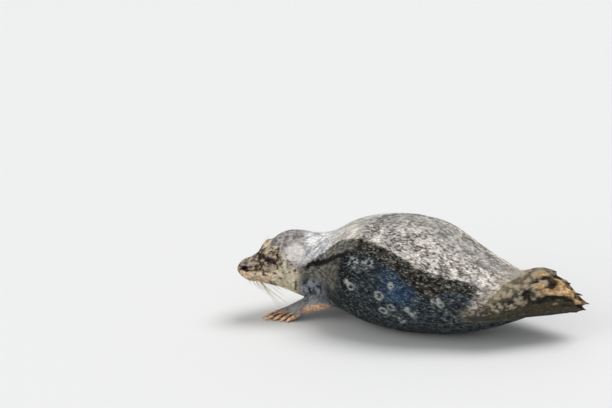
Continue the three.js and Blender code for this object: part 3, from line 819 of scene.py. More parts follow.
def digit_masks(towards, across, number, hind):
    """Shares of dark marks and of painted shade in the creases between the digits, and of warm hair on them.
    """
    between = 0.5 - 0.5 * np.cos(2 * np.pi * across / 0.4)
    start = np.where(hind, 0.62, 0.74)
    # painted shade in the creases between the digits
    crease = between**2 * ramp(towards, start, start + 0.2) * (np.abs(across) < 0.9)
    dark = np.where(number == 3, 0.42 * crease + marks(HIND_BLACKS, towards, across),
                    0.75 * crease + 0.5 * marks(HIND_BLACKS, towards, across - 0.15))
    gold = np.where(number == 3, marks(HIND_GOLDS, towards, across),
                    0.7 * marks(HIND_GOLDS, towards, across - 0.2))
    pink = ramp(towards, 0.78, 0.88) + 1.4 * hump(towards, 0.38, 0.22) * ramp(-across, 0.64, 0.9)
    return np.where(hind, [dark, gold], [crease, pink])


print("the band is", round(float(np.ptp(above_band(450.0, 60.0)))), "mm wide over the belly")


# %% Regions
along, round_way = spot[:, 0], np.arctan2(spot[:, 1], spot[:, 2])
degrees = np.abs(np.degrees(round_way))
above_top, above_foot = above_band(along, degrees)
dark, cream, bare, brown, nape, orange = face_masks(along, degrees, np.degrees(round_way))
on_head = ramp(along, 185, 145)
hind_side = ramp(points[:, 0], 0, 0.1)
tip_ward, across, _ = limb.T
crease, warm = on_limb * digit_masks(tip_ward, across, limb_number, hind_side > 0.5)
on_hind = on_limb * hind_side
# the hind flippers' upper edge, pale and partly a painted highlight, and lower side, wet and under painted
# shade
pale_lit_edge, low_side = on_hind * ramp(across, -0.25, -0.7), on_hind * ramp(across, 0.05, 0.5)
is_limb = limb_share[:, 0]
skin_numbers = {label: np.stack(values, -1) for label, values in {
    "place": points.T,
    "spot": (along, degrees, on_head),
    "wet_and_shaded": (above_top, above_foot, tip_ward * on_limb),
    "limbs": (is_limb * (1 - hind_side), is_limb * hind_side, warm),
    "digits": (crease, pale_lit_edge, low_side),
    "face": (dark * on_head, cream * on_head, bare * on_head),
    "fur": (brown * on_head, nape, orange * on_head),
}.items()}
write_numbers(mesh, {**skin_numbers, "tuft": np.broadcast_to([0.5, 0.3, 0.0], (COUNT, 3))})
print("wet share of the skin:", round(float((above_top < 0).mean()), 2))

# %% [markdown]
# ## A short way to write materials
# A material is a graph of nodes. The class below lets node results be added, multiplied and laid over
# each other like plain numbers, so that a recipe reads like a sum.


# %% Paint and nodes
def paint(red, green, blue):
    """An everyday 0 to 255 colour as linear light: values to the power 2.4 after a small offset."""
    value = np.array([red, green, blue]) / 255
    linear = np.where(value <= 0.04045, value / 12.92, ((value + 0.055) / 1.055) ** 2.4)
    return (*linear.tolist(), 1.0)


def put(socket, value):
    """A link if the value is a node's result, else a plain number or vector, or a painted colour."""
    if isinstance(value, Value):
        socket.id_data.links.new(value.socket, socket)
    else:
        socket.default_value = paint(*value) if socket.type == "RGBA" else value


def node(kind, inputs, out=0, tree=None, **settings):
    """A new node in the graph of its inputs, with its own settings. Gives back one of its results."""
    tree = tree or next(v.socket.id_data for v in inputs.values() if isinstance(v, Value))
    made = tree.nodes.new("ShaderNode" + kind)
    for key, value in settings.items():
        setattr(made, key, value)
    for key, value in inputs.items():
        put(made.inputs[key], value)
    return Value(made.outputs[out])


class Value:
    """The result of a node, with arithmetic that adds further nodes to the same graph."""

    def __init__(self, socket):
        self.socket = socket

    def __add__(self, other):
        return node("Math", {0: self, 1: other}, operation="ADD")

    def __mul__(self, other):
        return node("Math", {0: self, 1: other}, operation="MULTIPLY")

    def step(self, low, high, start=0.0, end=1.0):
        """From start to end in a smooth S as the value goes from low to high, which may be the lesser."""
        return node("MapRange", dict(enumerate((self, low, high, start, end))),
                    interpolation_type="SMOOTHSTEP")

    def between(self, low, high, soft):
        """1 between low and high, with soft edges."""
        return self.step(low - soft, low + soft) * self.step(high + soft, high - soft)

    def over(self, share, cover, kind="MIX"):
        """This colour, with another one over it where the share is 1."""
        return node("Mix", {0: share, 6: self, 7: cover}, 2, data_type="RGBA", blend_type=kind)


print("a grey of 128 is", round(paint(128, 128, 128)[0], 3), "as linear light")


# %% Recipes
def vector(x, y, z):
    return node("CombineXYZ", {0: x, 1: y, 2: z})


def noise(place, scale, detail, roughness):
    return node("TexNoise", {"Vector": place, "Scale": scale, "Detail": detail, "Roughness": roughness})


def mixed(share, first, second):
    """A colour between two paints."""
    return node("Mix", {0: share, 6: first, 7: second}, 2, data_type="RGBA")


def mottled(share, first, second):
    """A colour that wanders between two paints as a noise goes from 0.42 to 0.58."""
    return mixed(share.step(0.42, 0.58), first, second)


class Recipe:
    """One material, which reads the mesh's named values and ends in a shader."""

    def __init__(self, name):
        self.material = bpy.data.materials.new(name)
        self.material.use_nodes = True

    def attribute(self, label):
        return node("Attribute", {}, "Vector", self.material.node_tree, attribute_name=label)

    def parts(self, label):
        """The three numbers of an attribute."""
        first = node("SeparateXYZ", {0: self.attribute(label)})
        return [Value(socket) for socket in first.socket.node.outputs]

    def finish(self, relief, depth, strength, **values):
        """Lead a bump of the relief and the given values into the shader."""
        values["Normal"] = node("Bump", {"Height": relief, "Distance": depth, "Strength": strength})
        shader = self.material.node_tree.nodes["Principled BSDF"]
        for label, value in values.items():
            put(shader.inputs[label.replace("_", " ")], value)
        return self.material

    def count(self):
        print(self.material.name, "has", len(self.material.node_tree.nodes), "nodes so far")


# %% [markdown]
# ## The coat's colours
# A dry harbor seal is silver with fine dark mottling, and its wet side is dark slate with pale rings; painted
# shade darkens that side further. The edge between the two is a charcoal band, partly hair that is half dry,
# partly painted shade along the edge of the light. The head is cream and purple-grey with brown spots. One
# material serves the skin and all tufts, since both carry the same numbers. It needs those numbers, and
# noise of several sizes to break up their edges.

# %% Numbers and noises
recipe = Recipe("seal_coat")
place = recipe.attribute("place")
along, degrees, head = recipe.parts("spot")
above_top, above_foot, tip_ward = recipe.parts("wet_and_shaded")
fore, hind, warm = recipe.parts("limbs")
crease, pale_lit_edge, low_side = recipe.parts("digits")
dark, cream, bare = recipe.parts("face")
brown, nape, orange = recipe.parts("fur")
tint, rise, _ = recipe.parts("tuft")
fine = noise(place, 260, 3, 0.6)
speck = noise(place, 125, 4, 0.65)
blot = noise(place, 78, 2, 0.5)
patch = noise(place, 46, 4, 0.62)
cloud = noise(place, 15, 3, 0.5)
finer, grain, patchy = fine + -0.5, speck + -0.5, patch + -0.5  # noises about zero, for ragged edges


def stretched(x, y, scale, detail=4):
    """Noise whose grain runs with the hair: x and y are places along and round the body."""
    return noise(vector(x, y, 0.0), scale, detail, 0.6)


def far_from(s, angle):
    return node("VectorMath", {0: place, 1: to_metres(body_point(s, np.radians(angle)))}, "Value",
                operation="DISTANCE")


recipe.count()

# %% [markdown]
# ### The dry back
# Dry hair is nearly white silver, with small dark flecks that gather in clouds. Paint is laid over paint,
# each where a noise is high. The neck is bright, with slanting blue-grey streaks of painted shade in the
# folds behind the head.

# %% Dry back
streak = stretched(along * 0.012, degrees * 0.09, 3.2)
neck = along.step(150, 190) * along.step(420, 340)
gather = speck * 0.8 + blot * 0.2 + cloud * 0.4 + streak * 0.1 + neck * -0.2
folds = stretched((along + degrees * 1.3) * 0.05, degrees * 0.012, 1.3)
fold_shade_behind_head = along.step(150, 170) * along.step(270, 215) * degrees.step(66, 50)
back = (
    mottled(patch, (250, 242, 232), (194, 187, 178))
    .over(along.step(340, 230) * 0.6, mottled(patch, (246, 246, 248), (196, 198, 205)))
    .over(gather.step(0.745, 0.775) * 0.92, (54, 47, 37))
    .over(fine.step(0.52, 0.6) * 0.45, (250, 247, 240))
    .over(fine.step(0.45, 0.39) * (neck * -0.3 + 0.6), (82, 75, 62))
    .over(far_from(488, 33).step(0.05, 0.01) * speck.step(0.44, 0.56) * 0.6, (72, 72, 76))
    .over(degrees.step(26, 4) * along.step(200, 330) * 0.38, (142, 144, 142))
    .over(along.step(640, 700) * patch.step(0.5, 0.6) * 0.45, (130, 122, 126))
    .over(along.step(690, 780) * 0.35, (208, 194, 174))
    # painted shade in the neck's folds behind the head
    .over(fold_shade_behind_head * folds.step(0.47, 0.56) * 0.7, (112, 119, 136))
)
recipe.count()

# %% [markdown]
# ### The wet flank
# Wet hair clumps and shows the dark skin, so it is slate, and painted shade darkens it further. A painted
# blue sheen of the sky lies in the middle. Pale rings are the mark of a harbor seal: a ring is paint where
# the distance from its middle is just so.

# %% Wet flank
RINGS = [  # along, degrees, radius in millimetres: the clear pale rings on the flank
    (480, 91, 11), (374, 82, 5.5), (388, 87, 9), (488, 108, 10), (513, 102, 9), (512, 78, 7), (632, 90, 7),
    (556, 101, 6), (470, -88, 10), (420, -80, 8), (540, -98, 9), (382, -93, 7), (602, -84, 8),
    (503, -107, 8), (640, -99, 7), (452, -104, 6),
]
BLOTCHES = [  # pale mottled patches on the flank: along, degrees, radius
    (394, 61, 22), (436, 62, 22), (512, 80, 11), (462, 77, 9), (620, 84, 16), (532, 118, 20),
    (566, 106, 14), (400, -62, 20), (520, -80, 14), (590, -98, 16), (455, -70, 14),
]
RING_LINE = 1.9  # half the width of a ring's line

pale = speck.step(0.57, 0.66) * cloud.step(0.36, 0.6, 0.3, 1.0)
cell = node("TexVoronoi", {"Vector": place, "Scale": 38}, "Distance")
chance = node("SeparateColor", {0: Value(cell.socket.node.outputs["Color"])})
random_rings = cell.between(0.24, 0.38, 0.05) * chance.step(0.7, 0.76)
flank = (
    mottled(blot, (8, 12, 14), (48, 58, 65))
    .over(far_from(532, 77).step(0.085, 0.025) * patch.step(0.26, 0.6) * 0.8, (36, 72, 108))
    .over(along.step(480, 380) * 0.8, (4, 8, 10))
    .over(pale * (along.step(580, 640) * 0.45 + 0.5), (150, 154, 150))
    .over(fine.step(0.55, 0.61) * 0.55, (126, 134, 136))
    .over(fine.step(0.46, 0.4) * 0.6, (8, 10, 12))
    .over(random_rings * speck.step(0.4, 0.56) * 0.45, (146, 150, 148))
)
wobble = finer * 0.01 + grain * 0.012
for s, angle, radius in RINGS:
    edge = far_from(s, angle) + wobble
    ring = edge.between((radius - RING_LINE) * MM, (radius + RING_LINE) * MM, 0.0014)
    flank = flank.over(ring * 0.82, (184, 186, 178))
for s, angle, radius in BLOTCHES:
    inside = far_from(s, angle).step(radius * 1.1 * MM, radius * 0.45 * MM)
    flank = flank.over(inside * speck.step(0.48, 0.58) * 0.85, (184, 188, 184))
recipe.count()

# %% [markdown]
# ### The chest
# In front of the flank the chest is olive grey, with painted shade below and a painted highlight on the
# upright fold at its rear edge.

# %% Chest
# painted shade on the chest's underside
chest_underside_shade = (degrees + patchy * 30 + along.step(280, 340) * 6).step(88, 102)
# painted highlight on the ridge of the upright fold
fold_highlight = along.between(326, 344, 8) * degrees.between(64, 88, 6)
chest = (
    mottled(streak, (78, 77, 70), (138, 135, 123))
    .over(blot.step(0.5, 0.58) * 0.6, (46, 46, 44))
    .over(chest_underside_shade * 0.9, mottled(patch, (30, 32, 33), (72, 76, 82)))
    .over(fold_highlight * speck.step(0.4, 0.56) * 0.6, (176, 166, 150))
)
front = (along + degrees.step(84, 116) * 62 + patchy * 90 + grain * 60).step(358, 324)
flank = flank.over(front, chest)
recipe.count()

# %% [markdown]
# ### The dark band
# The band is black-brown: partly hair that is half dry, partly painted shade where the lit back turns
# away from the light. The band's edges come from the skin's numbers, made ragged by noise, and it lies
# over back and flank. It is greyer above its front half, and a thin black line runs below.

# %% Band
# beyond 92 to 108 degrees the dark flank runs on under the rump as painted shade
ended = (along + degrees.step(92, 108) * -160 + patchy * 44 + grain * 30).step(706, 694)
begun = (along + degrees * 0.2).step(152, 172)
# the flank's mask: wet hair, darkened further by painted shade
wet_and_shaded = (above_top + grain * 30 + patchy * 34).step(4, -2) * ended * begun
front_half = along.step(400, 340)
upper_half = (above_foot + grain * 20).step(8, 20) * front_half
charcoal = (
    mottled(blot, (6, 5, 4), (56, 53, 45))
    .over(speck.step(0.575, 0.61) * 0.8, (150, 145, 132))
    .over(fine.step(0.59, 0.62) * 0.6, (172, 166, 154))
    .over(upper_half * 0.8, mottled(speck, (92, 90, 83), (158, 155, 146)))
)
# the dark band: half-dry hair, and painted shade along the edge of the light
band = (above_foot + grain * 22 + patchy * 34).step(-5, 4) * wet_and_shaded
line = (above_foot + grain * 12 + patchy * 12).between(-2, 12, 2) * along.step(155, 168) * front_half
coat = (
    back.over(wet_and_shaded, flank).over(band * 0.95, charcoal)
    .over(line * fine.step(0.4, 0.5, 0.75, 1.0) * 0.95, (12, 10, 9))
)
recipe.count()

# %% [markdown]
# ### The head
# The crown is purple-grey with fine stipple, the face brown, the whisker pad and cheek cream. Dark marks
# lie round the eyes and brows, and painted shade darkens the mouth's corner, the fold behind the cheek and
# the underside of the throat. Each is a mask on the skin, so the edges only need noise.

# %% Head
snout_top = along.step(62, 34) * degrees.step(62, 40) * speck.step(0.44, 0.52, 1, 0.25)
crown = (
    mottled(blot, (208, 200, 195), (134, 127, 126))
    .over(fine.step(0.5, 0.57) * 0.55, (88, 81, 82))
    .over(speck.step(0.55, 0.61) * 0.6, (66, 61, 65))
    .over(fine.step(0.47, 0.42) * 0.45, (222, 214, 212))
)
tan = (
    mottled(speck, (208, 187, 161), (74, 60, 50))
    .over(blot.step(0.54, 0.59) * 0.75, (56, 45, 38))
    .over(snout_top * 0.55, (206, 194, 182))
)
pad = (
    mottled(speck, (255, 243, 220), (212, 168, 124))
    .over(blot.step(0.55, 0.6) * 0.75, (104, 76, 54))
)
light = pad.over((along + patchy * 60).step(62, 108), mottled(speck, (250, 238, 210), (186, 174, 146)))
upright = stretched(along * 0.13, degrees * 0.012, 1.6, 3)
face = (
    crown.over((brown + grain * 0.8).step(0.3, 0.7), tan)
    .over((cream + grain * 1.1 + patchy * 0.5).step(0.22, 0.68) * 0.94, light)
    .over(orange * upright.step(0.4, 0.62) * 0.65, (228, 162, 106))
    .over((dark + grain + finer * 0.5).step(0.32, 0.54) * 0.9, (46, 37, 32))
    .over(fine.step(0.57, 0.64) * 0.35, (66, 56, 50))
)
nape_white = (nape + grain * 0.9 + (streak + -0.5) * 0.7).step(0.15, 0.7) * 0.9
wisps = stretched(along * 0.075, degrees * 0.03, 1.5, 3)
# the underside of the neck: streaks, and painted bluish shade under the throat
throat = degrees.step(88, 104) * along.step(146, 172) * along.step(270, 215)
coat = (
    coat.over(head, face)
    .over(nape_white, mottled(fine, (255, 250, 245), (228, 220, 214)))
    .over(throat * 0.75, mottled(wisps, (158, 163, 168), (24, 31, 44)))
)
recipe.count()

# %% [markdown]
# ### The flippers
# Fore flippers are blue-grey with pale specks, and near the body dark with a painted blue sheen of the
# sky. Hind flippers are pale above, partly under a painted highlight, mottled, and nearly black below,
# where painted shade darkens wet hair. Both have warm hair on the digits, with painted shade in the
# creases between them.

# %% Flippers
fore_coat = (
    mottled(patch, (106, 110, 116), (164, 164, 160))
    .over(speck.step(0.53, 0.6) * 0.7, (50, 54, 62))
    .over(fine.step(0.54, 0.6) * 0.6, (206, 206, 202))
    # near the body: a painted blue sheen of the sky on dark wet hair
    .over(tip_ward.step(0.42, 0.12) * 0.65, mottled(speck, (26, 33, 44), (120, 128, 140)))
)
# painted shade on the hind flippers' lower side, over dark wet hair
shaded_low_side = (low_side + grain * 0.9).step(0.3, 0.7)
# pale upper edge, partly a painted highlight
pale_lit_top = (pale_lit_edge + grain * 0.9 + patchy * 0.8).step(0.3, 0.7)
hind_coat = (
    mottled(blot, (220, 206, 178), (98, 85, 64))
    .over(speck.step(0.515, 0.565) * 0.9, (34, 29, 22))
    .over(shaded_low_side * 0.85, mottled(blot, (15, 12, 4), (80, 69, 38)))
    .over(pale_lit_top * 0.9, mottled(blot, (226, 208, 176), (146, 128, 100)))
)
hind_share = hind * (along + tip_ward * 200).step(740, 800, 0.6, 1)
warm_share = (warm + grain * 1.7 + patchy * 1.2 * hind).step(0.3, 0.8) * warm.step(0.0, 0.12)
peach = mottled(speck, (255, 214, 174), (172, 126, 94))
golden = mottled(speck, (255, 222, 170), (176, 132, 82))
# painted shade in the creases between the digits, with ragged edges
ragged_crease_shade = crease + (blot + -0.5) * 2.4 * crease + grain * 1.2 * crease
ragged_bare = bare + finer * 0.3
coat = (
    coat.over(fore, fore_coat).over(hind_share, hind_coat)
    .over(warm_share * 0.88, peach.over(hind, golden))
    .over(ragged_crease_shade.step(0.22, 0.6) * 0.92, (28, 21, 16))
    .over(ragged_bare.step(0.3, 0.55), (70, 56, 66))
    .over(ragged_bare.step(0.66, 0.86), (24, 18, 19))
)
recipe.count()

# %% [markdown]
# ### Shade and gloss
# Every tuft differs a little, and hair is darker at its root. Wet hair and bare skin shine. The bare skin
# of lids, nostrils and lips was painted last: purple-grey, and black along its edges.

# %% Shade and gloss
shade = (tint * 0.5 + 0.74) * (rise * 0.24 + 0.88) * (grain * 0.8 + finer * 0.8 + 1.0)
moist = wet_and_shaded * (front * -0.35 + 0.6)
glossy = node("Math", {0: moist, 1: node("Math", {0: bare, 1: 1.0}, operation="MINIMUM")},
              operation="MAXIMUM")
hair_lines = stretched(along * 0.06, degrees * 1.1, 1.6, 2)
coat_finish = recipe.finish(hair_lines * 0.7 + fine * 0.5, 0.0012, 0.5, Specular_IOR_Level=0.14,
                            Base_Color=coat.over(1.0, vector(shade, shade, shade), "MULTIPLY"),
                            Roughness=glossy * -0.46 + 0.86)

mesh.materials.clear()
print("coat nodes:", len(coat_finish.node_tree.nodes))

# %% [markdown]
# ## The coat
# A harbor seal's hair is only about a centimetre long and lies flat towards the tail. A tuft here is a
# small closed-looking leaf: a root, two sides, a raised ridge and a tip, four triangles in all. Hundreds
# of thousands overlap like roof tiles. They are scattered evenly by area, and short on face and feet.

# %% Density of the hair
def dress(thing, slot, material, *nodes):
    """Gives a piece its material and its body, and hides the solids it stands for. The slot is not used."""
    thing.data.materials.append(material)
    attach(thing, "root")
    if nodes:
        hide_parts(*nodes)


dress(skin, "coat", coat_finish, "head", "lower_jaw", "neck", "chest", "belly", "rump", "tail",
      "fore_flipper_left", "fore_flipper_right", "hind_flipper_left", "hind_flipper_right")
along, degrees, on_head = skin_numbers["spot"].T
bare = skin_numbers["face"][:, 2]
mesh.calc_loop_triangles()
triangles = read(mesh.loop_triangles, "vertices", 3)
normals = read(mesh.vertices, "normal", 3, np.float32).astype(float)
corners = points[triangles]
area = np.linalg.norm(np.cross(corners[:, 1] - corners[:, 0], corners[:, 2] - corners[:, 0]), axis=1) / 2
lie = unit(lie - (lie * normals).sum(-1, keepdims=True) * normals)
small = np.maximum(ramp(along, 230, 90), 0.75 * is_limb)  # 1 where the tufts are smallest
x_eye, y_eye = face_plane(EYE, along, degrees)
in_slit = (slit_distance(x_eye, y_eye)[0] < 1.0) & (np.abs(x_eye) < SLIT_LENGTH + 2) & (on_head > 0)
bald = np.clip(np.maximum(bare, in_slit)[triangles].mean(1) * 1.6, 0, 1)
weight = area * (1 + 2.6 * small[triangles].mean(1) ** 2) * (1 - bald)
print("skin that bears hair:", round(float((area * (1 - bald)).sum()), 3), "square metres")

# %% Plan of the coat
COAT_PIECES = [  # name, from where to where along the spine it grows, and how many tufts
    ("coat_head", -np.inf, 160, 40000), ("coat_neck", 160, 290, 42000), ("coat_chest", 290, 430, 48000),
    ("coat_belly", 430, 570, 48000), ("coat_loin", 570, 720, 44000), ("coat_rump", 720, np.inf, 26000),
    ("coat_flippers", None, None, 34000),
]
BAKE_PATCH = 0.003
LEAF = np.array([[0, 2, 1], [0, 3, 2], [1, 2, 4], [2, 3, 4]])  # root, side, ridge, side and tip
LEAF_RISE = [0.0, 0.5, 0.6, 0.5, 1.0]
LEAF_MAP = np.array([[0, 0.5], [0.4, 0], [0.4, 0.5], [0.4, 1], [1, 0.5]])
print("tufts:", sum(piece[3] for piece in COAT_PIECES))


# %% Tufts
def unwrapped(along, round_way, number, limb):
    """The tuft's place on a flat map of the skin: the trunk unrolled, or one island for each limb face."""
    trunk = np.stack([(along - along.min()) / np.ptp(along), round_way / (2 * np.pi) + 0.5], -1)
    island, (t, q, over) = (number - 1) * 2, limb.T
    island = island + (over > 0)
    foot = np.stack([(np.clip(t, 0, 1) + island % 4) / 4.2, ((q + 1) / 2.2 + island // 4) / 2.1], -1)
    return np.clip(np.where((number > 0)[:, None], foot, trunk), 0, 1) * (1 - 2 * BAKE_PATCH) + BAKE_PATCH


def tufts(name, chosen, count, seed):
    """Leaves scattered over the chosen triangles by weight, lying along the hair with a little spread.

    Length and width shrink from the trunk to the face and the feet."""
    draw = np.random.default_rng(seed)
    index = np.flatnonzero(chosen)
    filled = np.cumsum(weight[index])
    pick = index[np.searchsorted(filled, (np.arange(count) + draw.random(count)) / count * filled[-1])]
    a, b = np.sqrt(draw.random(count)), draw.random(count)
    share = np.stack([1 - a, a * (1 - b), a * b], -1)[..., None]

    def at_root(values):
        """The skin's own values at each tuft's root."""
        return (values.reshape(COUNT, -1)[triangles[pick]] * share).sum(1)

    def vary(trunk, shrink, low, high):
        """A size in metres that shrinks where tufts are small and differs from tuft to tuft."""
        return (trunk - shrink * at_root(small)) * MM * draw.uniform(low, high, (count, 1))

    root, out, way = at_root(points), unit(at_root(normals)), unit(at_root(lie))
    way = unit(way + np.cross(out, way) * draw.normal(0, 0.16, (count, 1)))
    length = way * vary(10.4, 6.2, 0.75, 1.25)
    width = vary(1.9, 1.15, 0.75, 1.25)
    lift = out * vary(0.9, 0.62, 0.5, 1.3)
    middle, half = root + length * 0.42 + lift * 0.55, np.cross(out, way) * width / 2
    leaf = np.stack([root - out * 0.3 * MM, middle - half, middle + out * width * 0.22, middle + half,
                     root + length + lift], 1)
    faces = (LEAF + 5 * np.arange(count)[:, None, None]).reshape(-1, 3).tolist()
    coat = mesh_object(name, above_floor(leaf, 0.2 * MM), faces)
    tint, rise = np.repeat(draw.random(count), 5), np.tile(LEAF_RISE, count)
    numbers = {label: np.repeat(at_root(values), 5, axis=0) for label, values in skin_numbers.items()}
    write_numbers(coat.data, {**numbers, "tuft": np.stack([tint, rise, rise * 0], -1)})
    _, sine, cosine = at_root(spot).T
    place = unwrapped(at_root(along)[:, 0], np.arctan2(sine, cosine), limb_number[triangles[pick]].max(1),
                      at_root(limb))
    flat = (place[:, None] + (LEAF_MAP - 0.5) * BAKE_PATCH).reshape(-1, 2)[np.ravel(faces)]
    coat.data.uv_layers.new(name="OFBake").data.foreach_set("uv", flat.astype(np.float32).ravel())
    dress(coat, "coat", coat_finish)
    print(name, "over", round(float(area[chosen].sum()), 3), "square metres:", len(faces), "triangles")


# %% Coat by region
triangle_along, triangle_limb = along[triangles].mean(1), limb_number[triangles].max(1)
for seed, (name, start, end, count) in enumerate(COAT_PIECES):
    if start is None:
        chosen = triangle_limb > 0
    else:
        chosen = (triangle_limb == 0) & (triangle_along >= start) & (triangle_along < end)
    tufts(name, chosen, count, seed + 11)
print("coat pieces:", len(COAT_PIECES))

# %% [markdown]
# ## Eyes
# A seal's eyeball is large and dark. Only a narrow part shows between the lids, so the ball is a full
# sphere with a slight bulge for the cornea, set in its socket behind the slit. Colour depends on the
# angle from the line of sight: pupil, brown iris with fine spokes, and dark wet white.

# %% Eyeballs
CORNEA = 0.035  # how far the cornea bulges, in eyeball radii


def eyeball(name, side):
    """A sphere about the socket's centre, in polar angles from the line of sight."""
    centre, back, up, out = eye_socket(side)
    sight = unit(out - 0.25 * back + 0.05 * up)
    first = unit(np.cross(sight, up))
    second = np.cross(sight, first)
    polar, turn = np.meshgrid(np.linspace(0, np.pi, 50)[1:-1], around(64), indexing="ij")
    ball = EYE_RADIUS - 0.25
    radius = ball * (1 + CORNEA * hump(np.degrees(polar), 0, 34))
    x, y, z = (v[..., None] * radius[..., None] for v in (
        np.cos(polar), np.sin(polar) * np.cos(turn), np.sin(polar) * np.sin(turn)))
    surface = centre + sight * x + first * y + second * z
    poles = [centre + sight * (ball + CORNEA * EYE_RADIUS), centre - sight * ball]
    eye = closed_object(name, to_metres(np.concatenate([surface.reshape(-1, 3), poles])), tube_faces(48, 64))
    gaze = np.stack([np.degrees(polar), np.cos(turn), np.sin(turn)], -1).reshape(-1, 3)
    write_numbers(eye.data, {"gaze": np.concatenate([gaze, [[0, 1, 0], [180, 1, 0]]])})
    return eye


def eye_material():
    """Pupil, iris and white by the angle from the line of sight, in degrees."""
    r = Recipe("wet_eye")
    angle, x, y = r.parts("gaze")
    spokes = noise(vector(x * 3, y * 3, angle * 0.01), 5, 4, 0.7)
    veins = noise(vector(x, y, angle * 0.06), 6, 4, 0.7)
    iris = mixed(spokes, (46, 20, 13), (92, 44, 28))
    white = mixed(veins, (34, 15, 12), (74, 38, 30))
    colour = mixed(angle.step(12, 15), (6, 5, 6), iris).over(angle.step(33, 38), white)
    return r.finish(veins, 0.0001, 0.2, Base_Color=colour, Roughness=veins * 0.1 + 0.16,
                    Specular_IOR_Level=0.35)


eye_finish = eye_material()
for side, label in ((1, "left"), (-1, "right")):
    dress(eyeball(f"eyeball_{label}", side), "eye", eye_finish, f"eye_{label}")
print("eyeballs are", 2 * EYE_RADIUS, "mm across")

# %% [markdown]
# ## Claws
# Each digit ends in a claw that grows out of the fur on its back and curves down to the ground. It is an
# oval swept along a short arc: thick at the root, pointed at the end. Horn has fine growth lines along it
# and is darker towards the tip.

# %% Claws
CLAW_ROWS, CLAW_SIDES = 26, 14


def claw(plan, side, q):
    """An oval whose centre follows the arc reach, lift - droop times s squared, and narrows to a point."""
    size = plan["claw"]
    axes, middle, _ = flipper_shape(plan, side)
    end, before = middle(np.array(1.0), q), middle(np.array(0.9), q)
    run = unit(end - before)
    beside = unit(np.cross(run, axes(np.array(1.0))[2]))
    up = np.cross(beside, run)
    s, turn = np.meshgrid(np.linspace(0, 1, CLAW_ROWS), around(CLAW_SIDES), indexing="ij")
    forward = -size["inset"] + (size["length"] + size["inset"]) * s
    lift = size["lift"] - size["droop"] * size["length"] * s**2
    radius = size["radius"] * (1 - s**2.4) ** 0.62 + 0.25
    ridge = 1 + 0.12 * np.clip(np.sin(turn), 0, 1) ** 3
    above, aside = lift + 0.85 * radius * ridge * np.sin(turn), radius * np.cos(turn)
    point = end + run * forward[..., None] + up * above[..., None] + beside * aside[..., None]
    return with_poles(above_floor(point, 0.15)), with_poles(np.stack([s, np.cos(turn), np.sin(turn)], -1))


def horn_material(name, root, tip):
    """Horn that goes from the root's paint to the tip's, with growth lines."""
    r = Recipe(name)
    s, x, y = r.parts("horn")
    lines = noise(vector(x * 2.2, y * 2.2, s * 0.5), 6, 3, 0.6)
    colour = mixed(s.step(0.35, 1.0), root, tip).over(lines * 0.4, root)
    return r.finish(lines, 0.0004, 0.5, Base_Color=colour, Roughness=lines * 0.2 + 0.34)


horn_finish = {"fore": horn_material("claw_horn", (250, 206, 168), (168, 124, 94)),
               "hind": horn_material("claw_horn_dark", (96, 74, 54), (40, 31, 26))}


def copies(faces, size, count):
    """The same faces for each of several equal shapes whose vertices follow each other."""
    return [[v + i * size for v in face] for i in range(count) for face in faces]


claw_faces = copies(tube_faces(CLAW_ROWS, CLAW_SIDES), CLAW_ROWS * CLAW_SIDES + 2, len(DIGITS))
for name, (plan, side) in FLIPPERS.items():
    shapes, horns = zip(*(claw(plan, side, q) for q in DIGITS))
    claws = closed_object(f"claws_{name}", to_metres(np.concatenate(shapes)), claw_faces)
    write_numbers(claws.data, {"horn": np.concatenate(horns)})
    dress(claws, "claw", horn_finish[name[:4]], *[f"claw_{name}_{i + 1}" for i in range(len(DIGITS))])
print("claws:", len(FLIPPERS) * len(DIGITS))

# %% [markdown]
# ## Whiskers
# A harbor seal has stiff pale whiskers in rows on its muzzle, longest at the back, and a few over each
# eye. They sag in smooth curves and have a beaded edge. Each is a thin tapered tube along its own curve.

# %% Whiskers and brow hairs
WHISKER_ROWS, WHISKER_SIDES = 16, 5
ROOT_DEPTH = 2.2  # how deep under the skin a hair starts


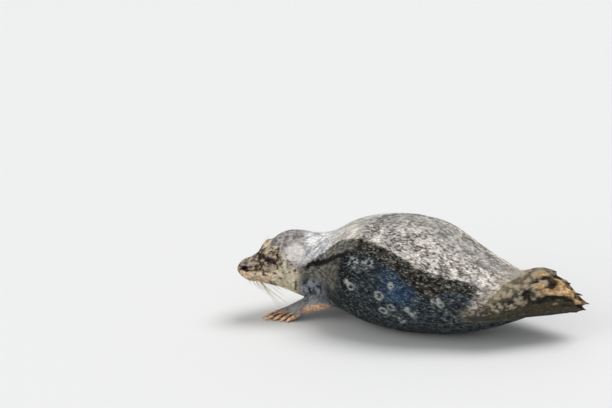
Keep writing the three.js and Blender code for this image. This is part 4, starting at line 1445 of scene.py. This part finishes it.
def hair_tube(root, start, sag, length, radius):
    """A tube along root + start times s plus sag times s squared, thinner to the tip, with small beads."""
    s, turn = np.linspace(0, 1, WHISKER_ROWS)[:, None], around(WHISKER_SIDES)[:, None]
    path = root + length * (start * s + sag * s**2)
    run = unit(np.gradient(path, axis=0))
    beside = unit(np.cross(run, [0.3, 0.2, 1.0]))
    over = np.cross(beside, run)
    thick = radius * (1 - 0.75 * s) * (1 + 0.16 * np.sin(s * length * 1.6))
    ring = beside[:, None] * np.cos(turn) + over[:, None] * np.sin(turn)
    return np.concatenate([(path[:, None] + ring * thick[..., None]).reshape(-1, 3), path[:1], path[-1:]])


def hairs(side, draw):
    """Rows on the pad, their hairs longer backwards, then three brow hairs."""
    for row, place in np.ndindex(4, 5):
        turn = np.radians(94 + 8 * row) * side
        point, back, up, out = skin_frame(24 + 7.0 * place + 1.5 * row, turn)
        start = unit(0.42 * out + (0.12 + 0.09 * place) * back - (0.8 + 0.06 * row) * up
                     + draw.normal(0, 0.08, 3))
        sag = np.array([0, 0, -1]) * draw.uniform(0.05, 0.2) + back * draw.uniform(0.3, 0.6)
        length = (20 + 17.5 * place) * draw.uniform(0.82, 1.1)
        yield hair_tube(point - out * ROOT_DEPTH, start, sag, length, 0.56 + 0.06 * place)
    for i in range(3):
        point, back, up, out = skin_frame(78 + 4 * i, np.radians(36 - 3 * i) * side)
        start = unit(out + 0.5 * up + 0.1 * back + draw.normal(0, 0.08, 3))
        yield hair_tube(point - out * ROOT_DEPTH, start, 0.5 * back - 0.15 * up, draw.uniform(12, 20), 0.3)


def whisker_material():
    """Pale horn, darker at the root, with fine grain."""
    r = Recipe("whisker_horn")
    grain = noise(r.attribute("place"), 700, 2, 0.5)
    colour = mixed(r.parts("tuft")[1], (188, 170, 140), (228, 214, 188)).over(grain * 0.15, (150, 130, 106))
    return r.finish(grain, 0.0001, 0.4, Base_Color=colour, Roughness=grain * 0.2 + 0.32)


whisker_finish = whisker_material()
for side, name in ((1, "whiskers_left"), (-1, "whiskers_right")):
    made = list(hairs(side, np.random.default_rng(70 + side)))
    place = to_metres(np.concatenate(made))
    faces = copies(tube_faces(WHISKER_ROWS, WHISKER_SIDES), len(made[0]), len(made))
    whiskers = closed_object(name, place, faces)
    rise = [*np.repeat(np.linspace(0, 1, WHISKER_ROWS), WHISKER_SIDES), 0, 1] * len(made)
    write_numbers(whiskers.data, {"place": place, "tuft": np.outer(rise, [0, 1, 0])})
    dress(whiskers, "claw", whisker_finish)
    print(name, len(made), "hairs")
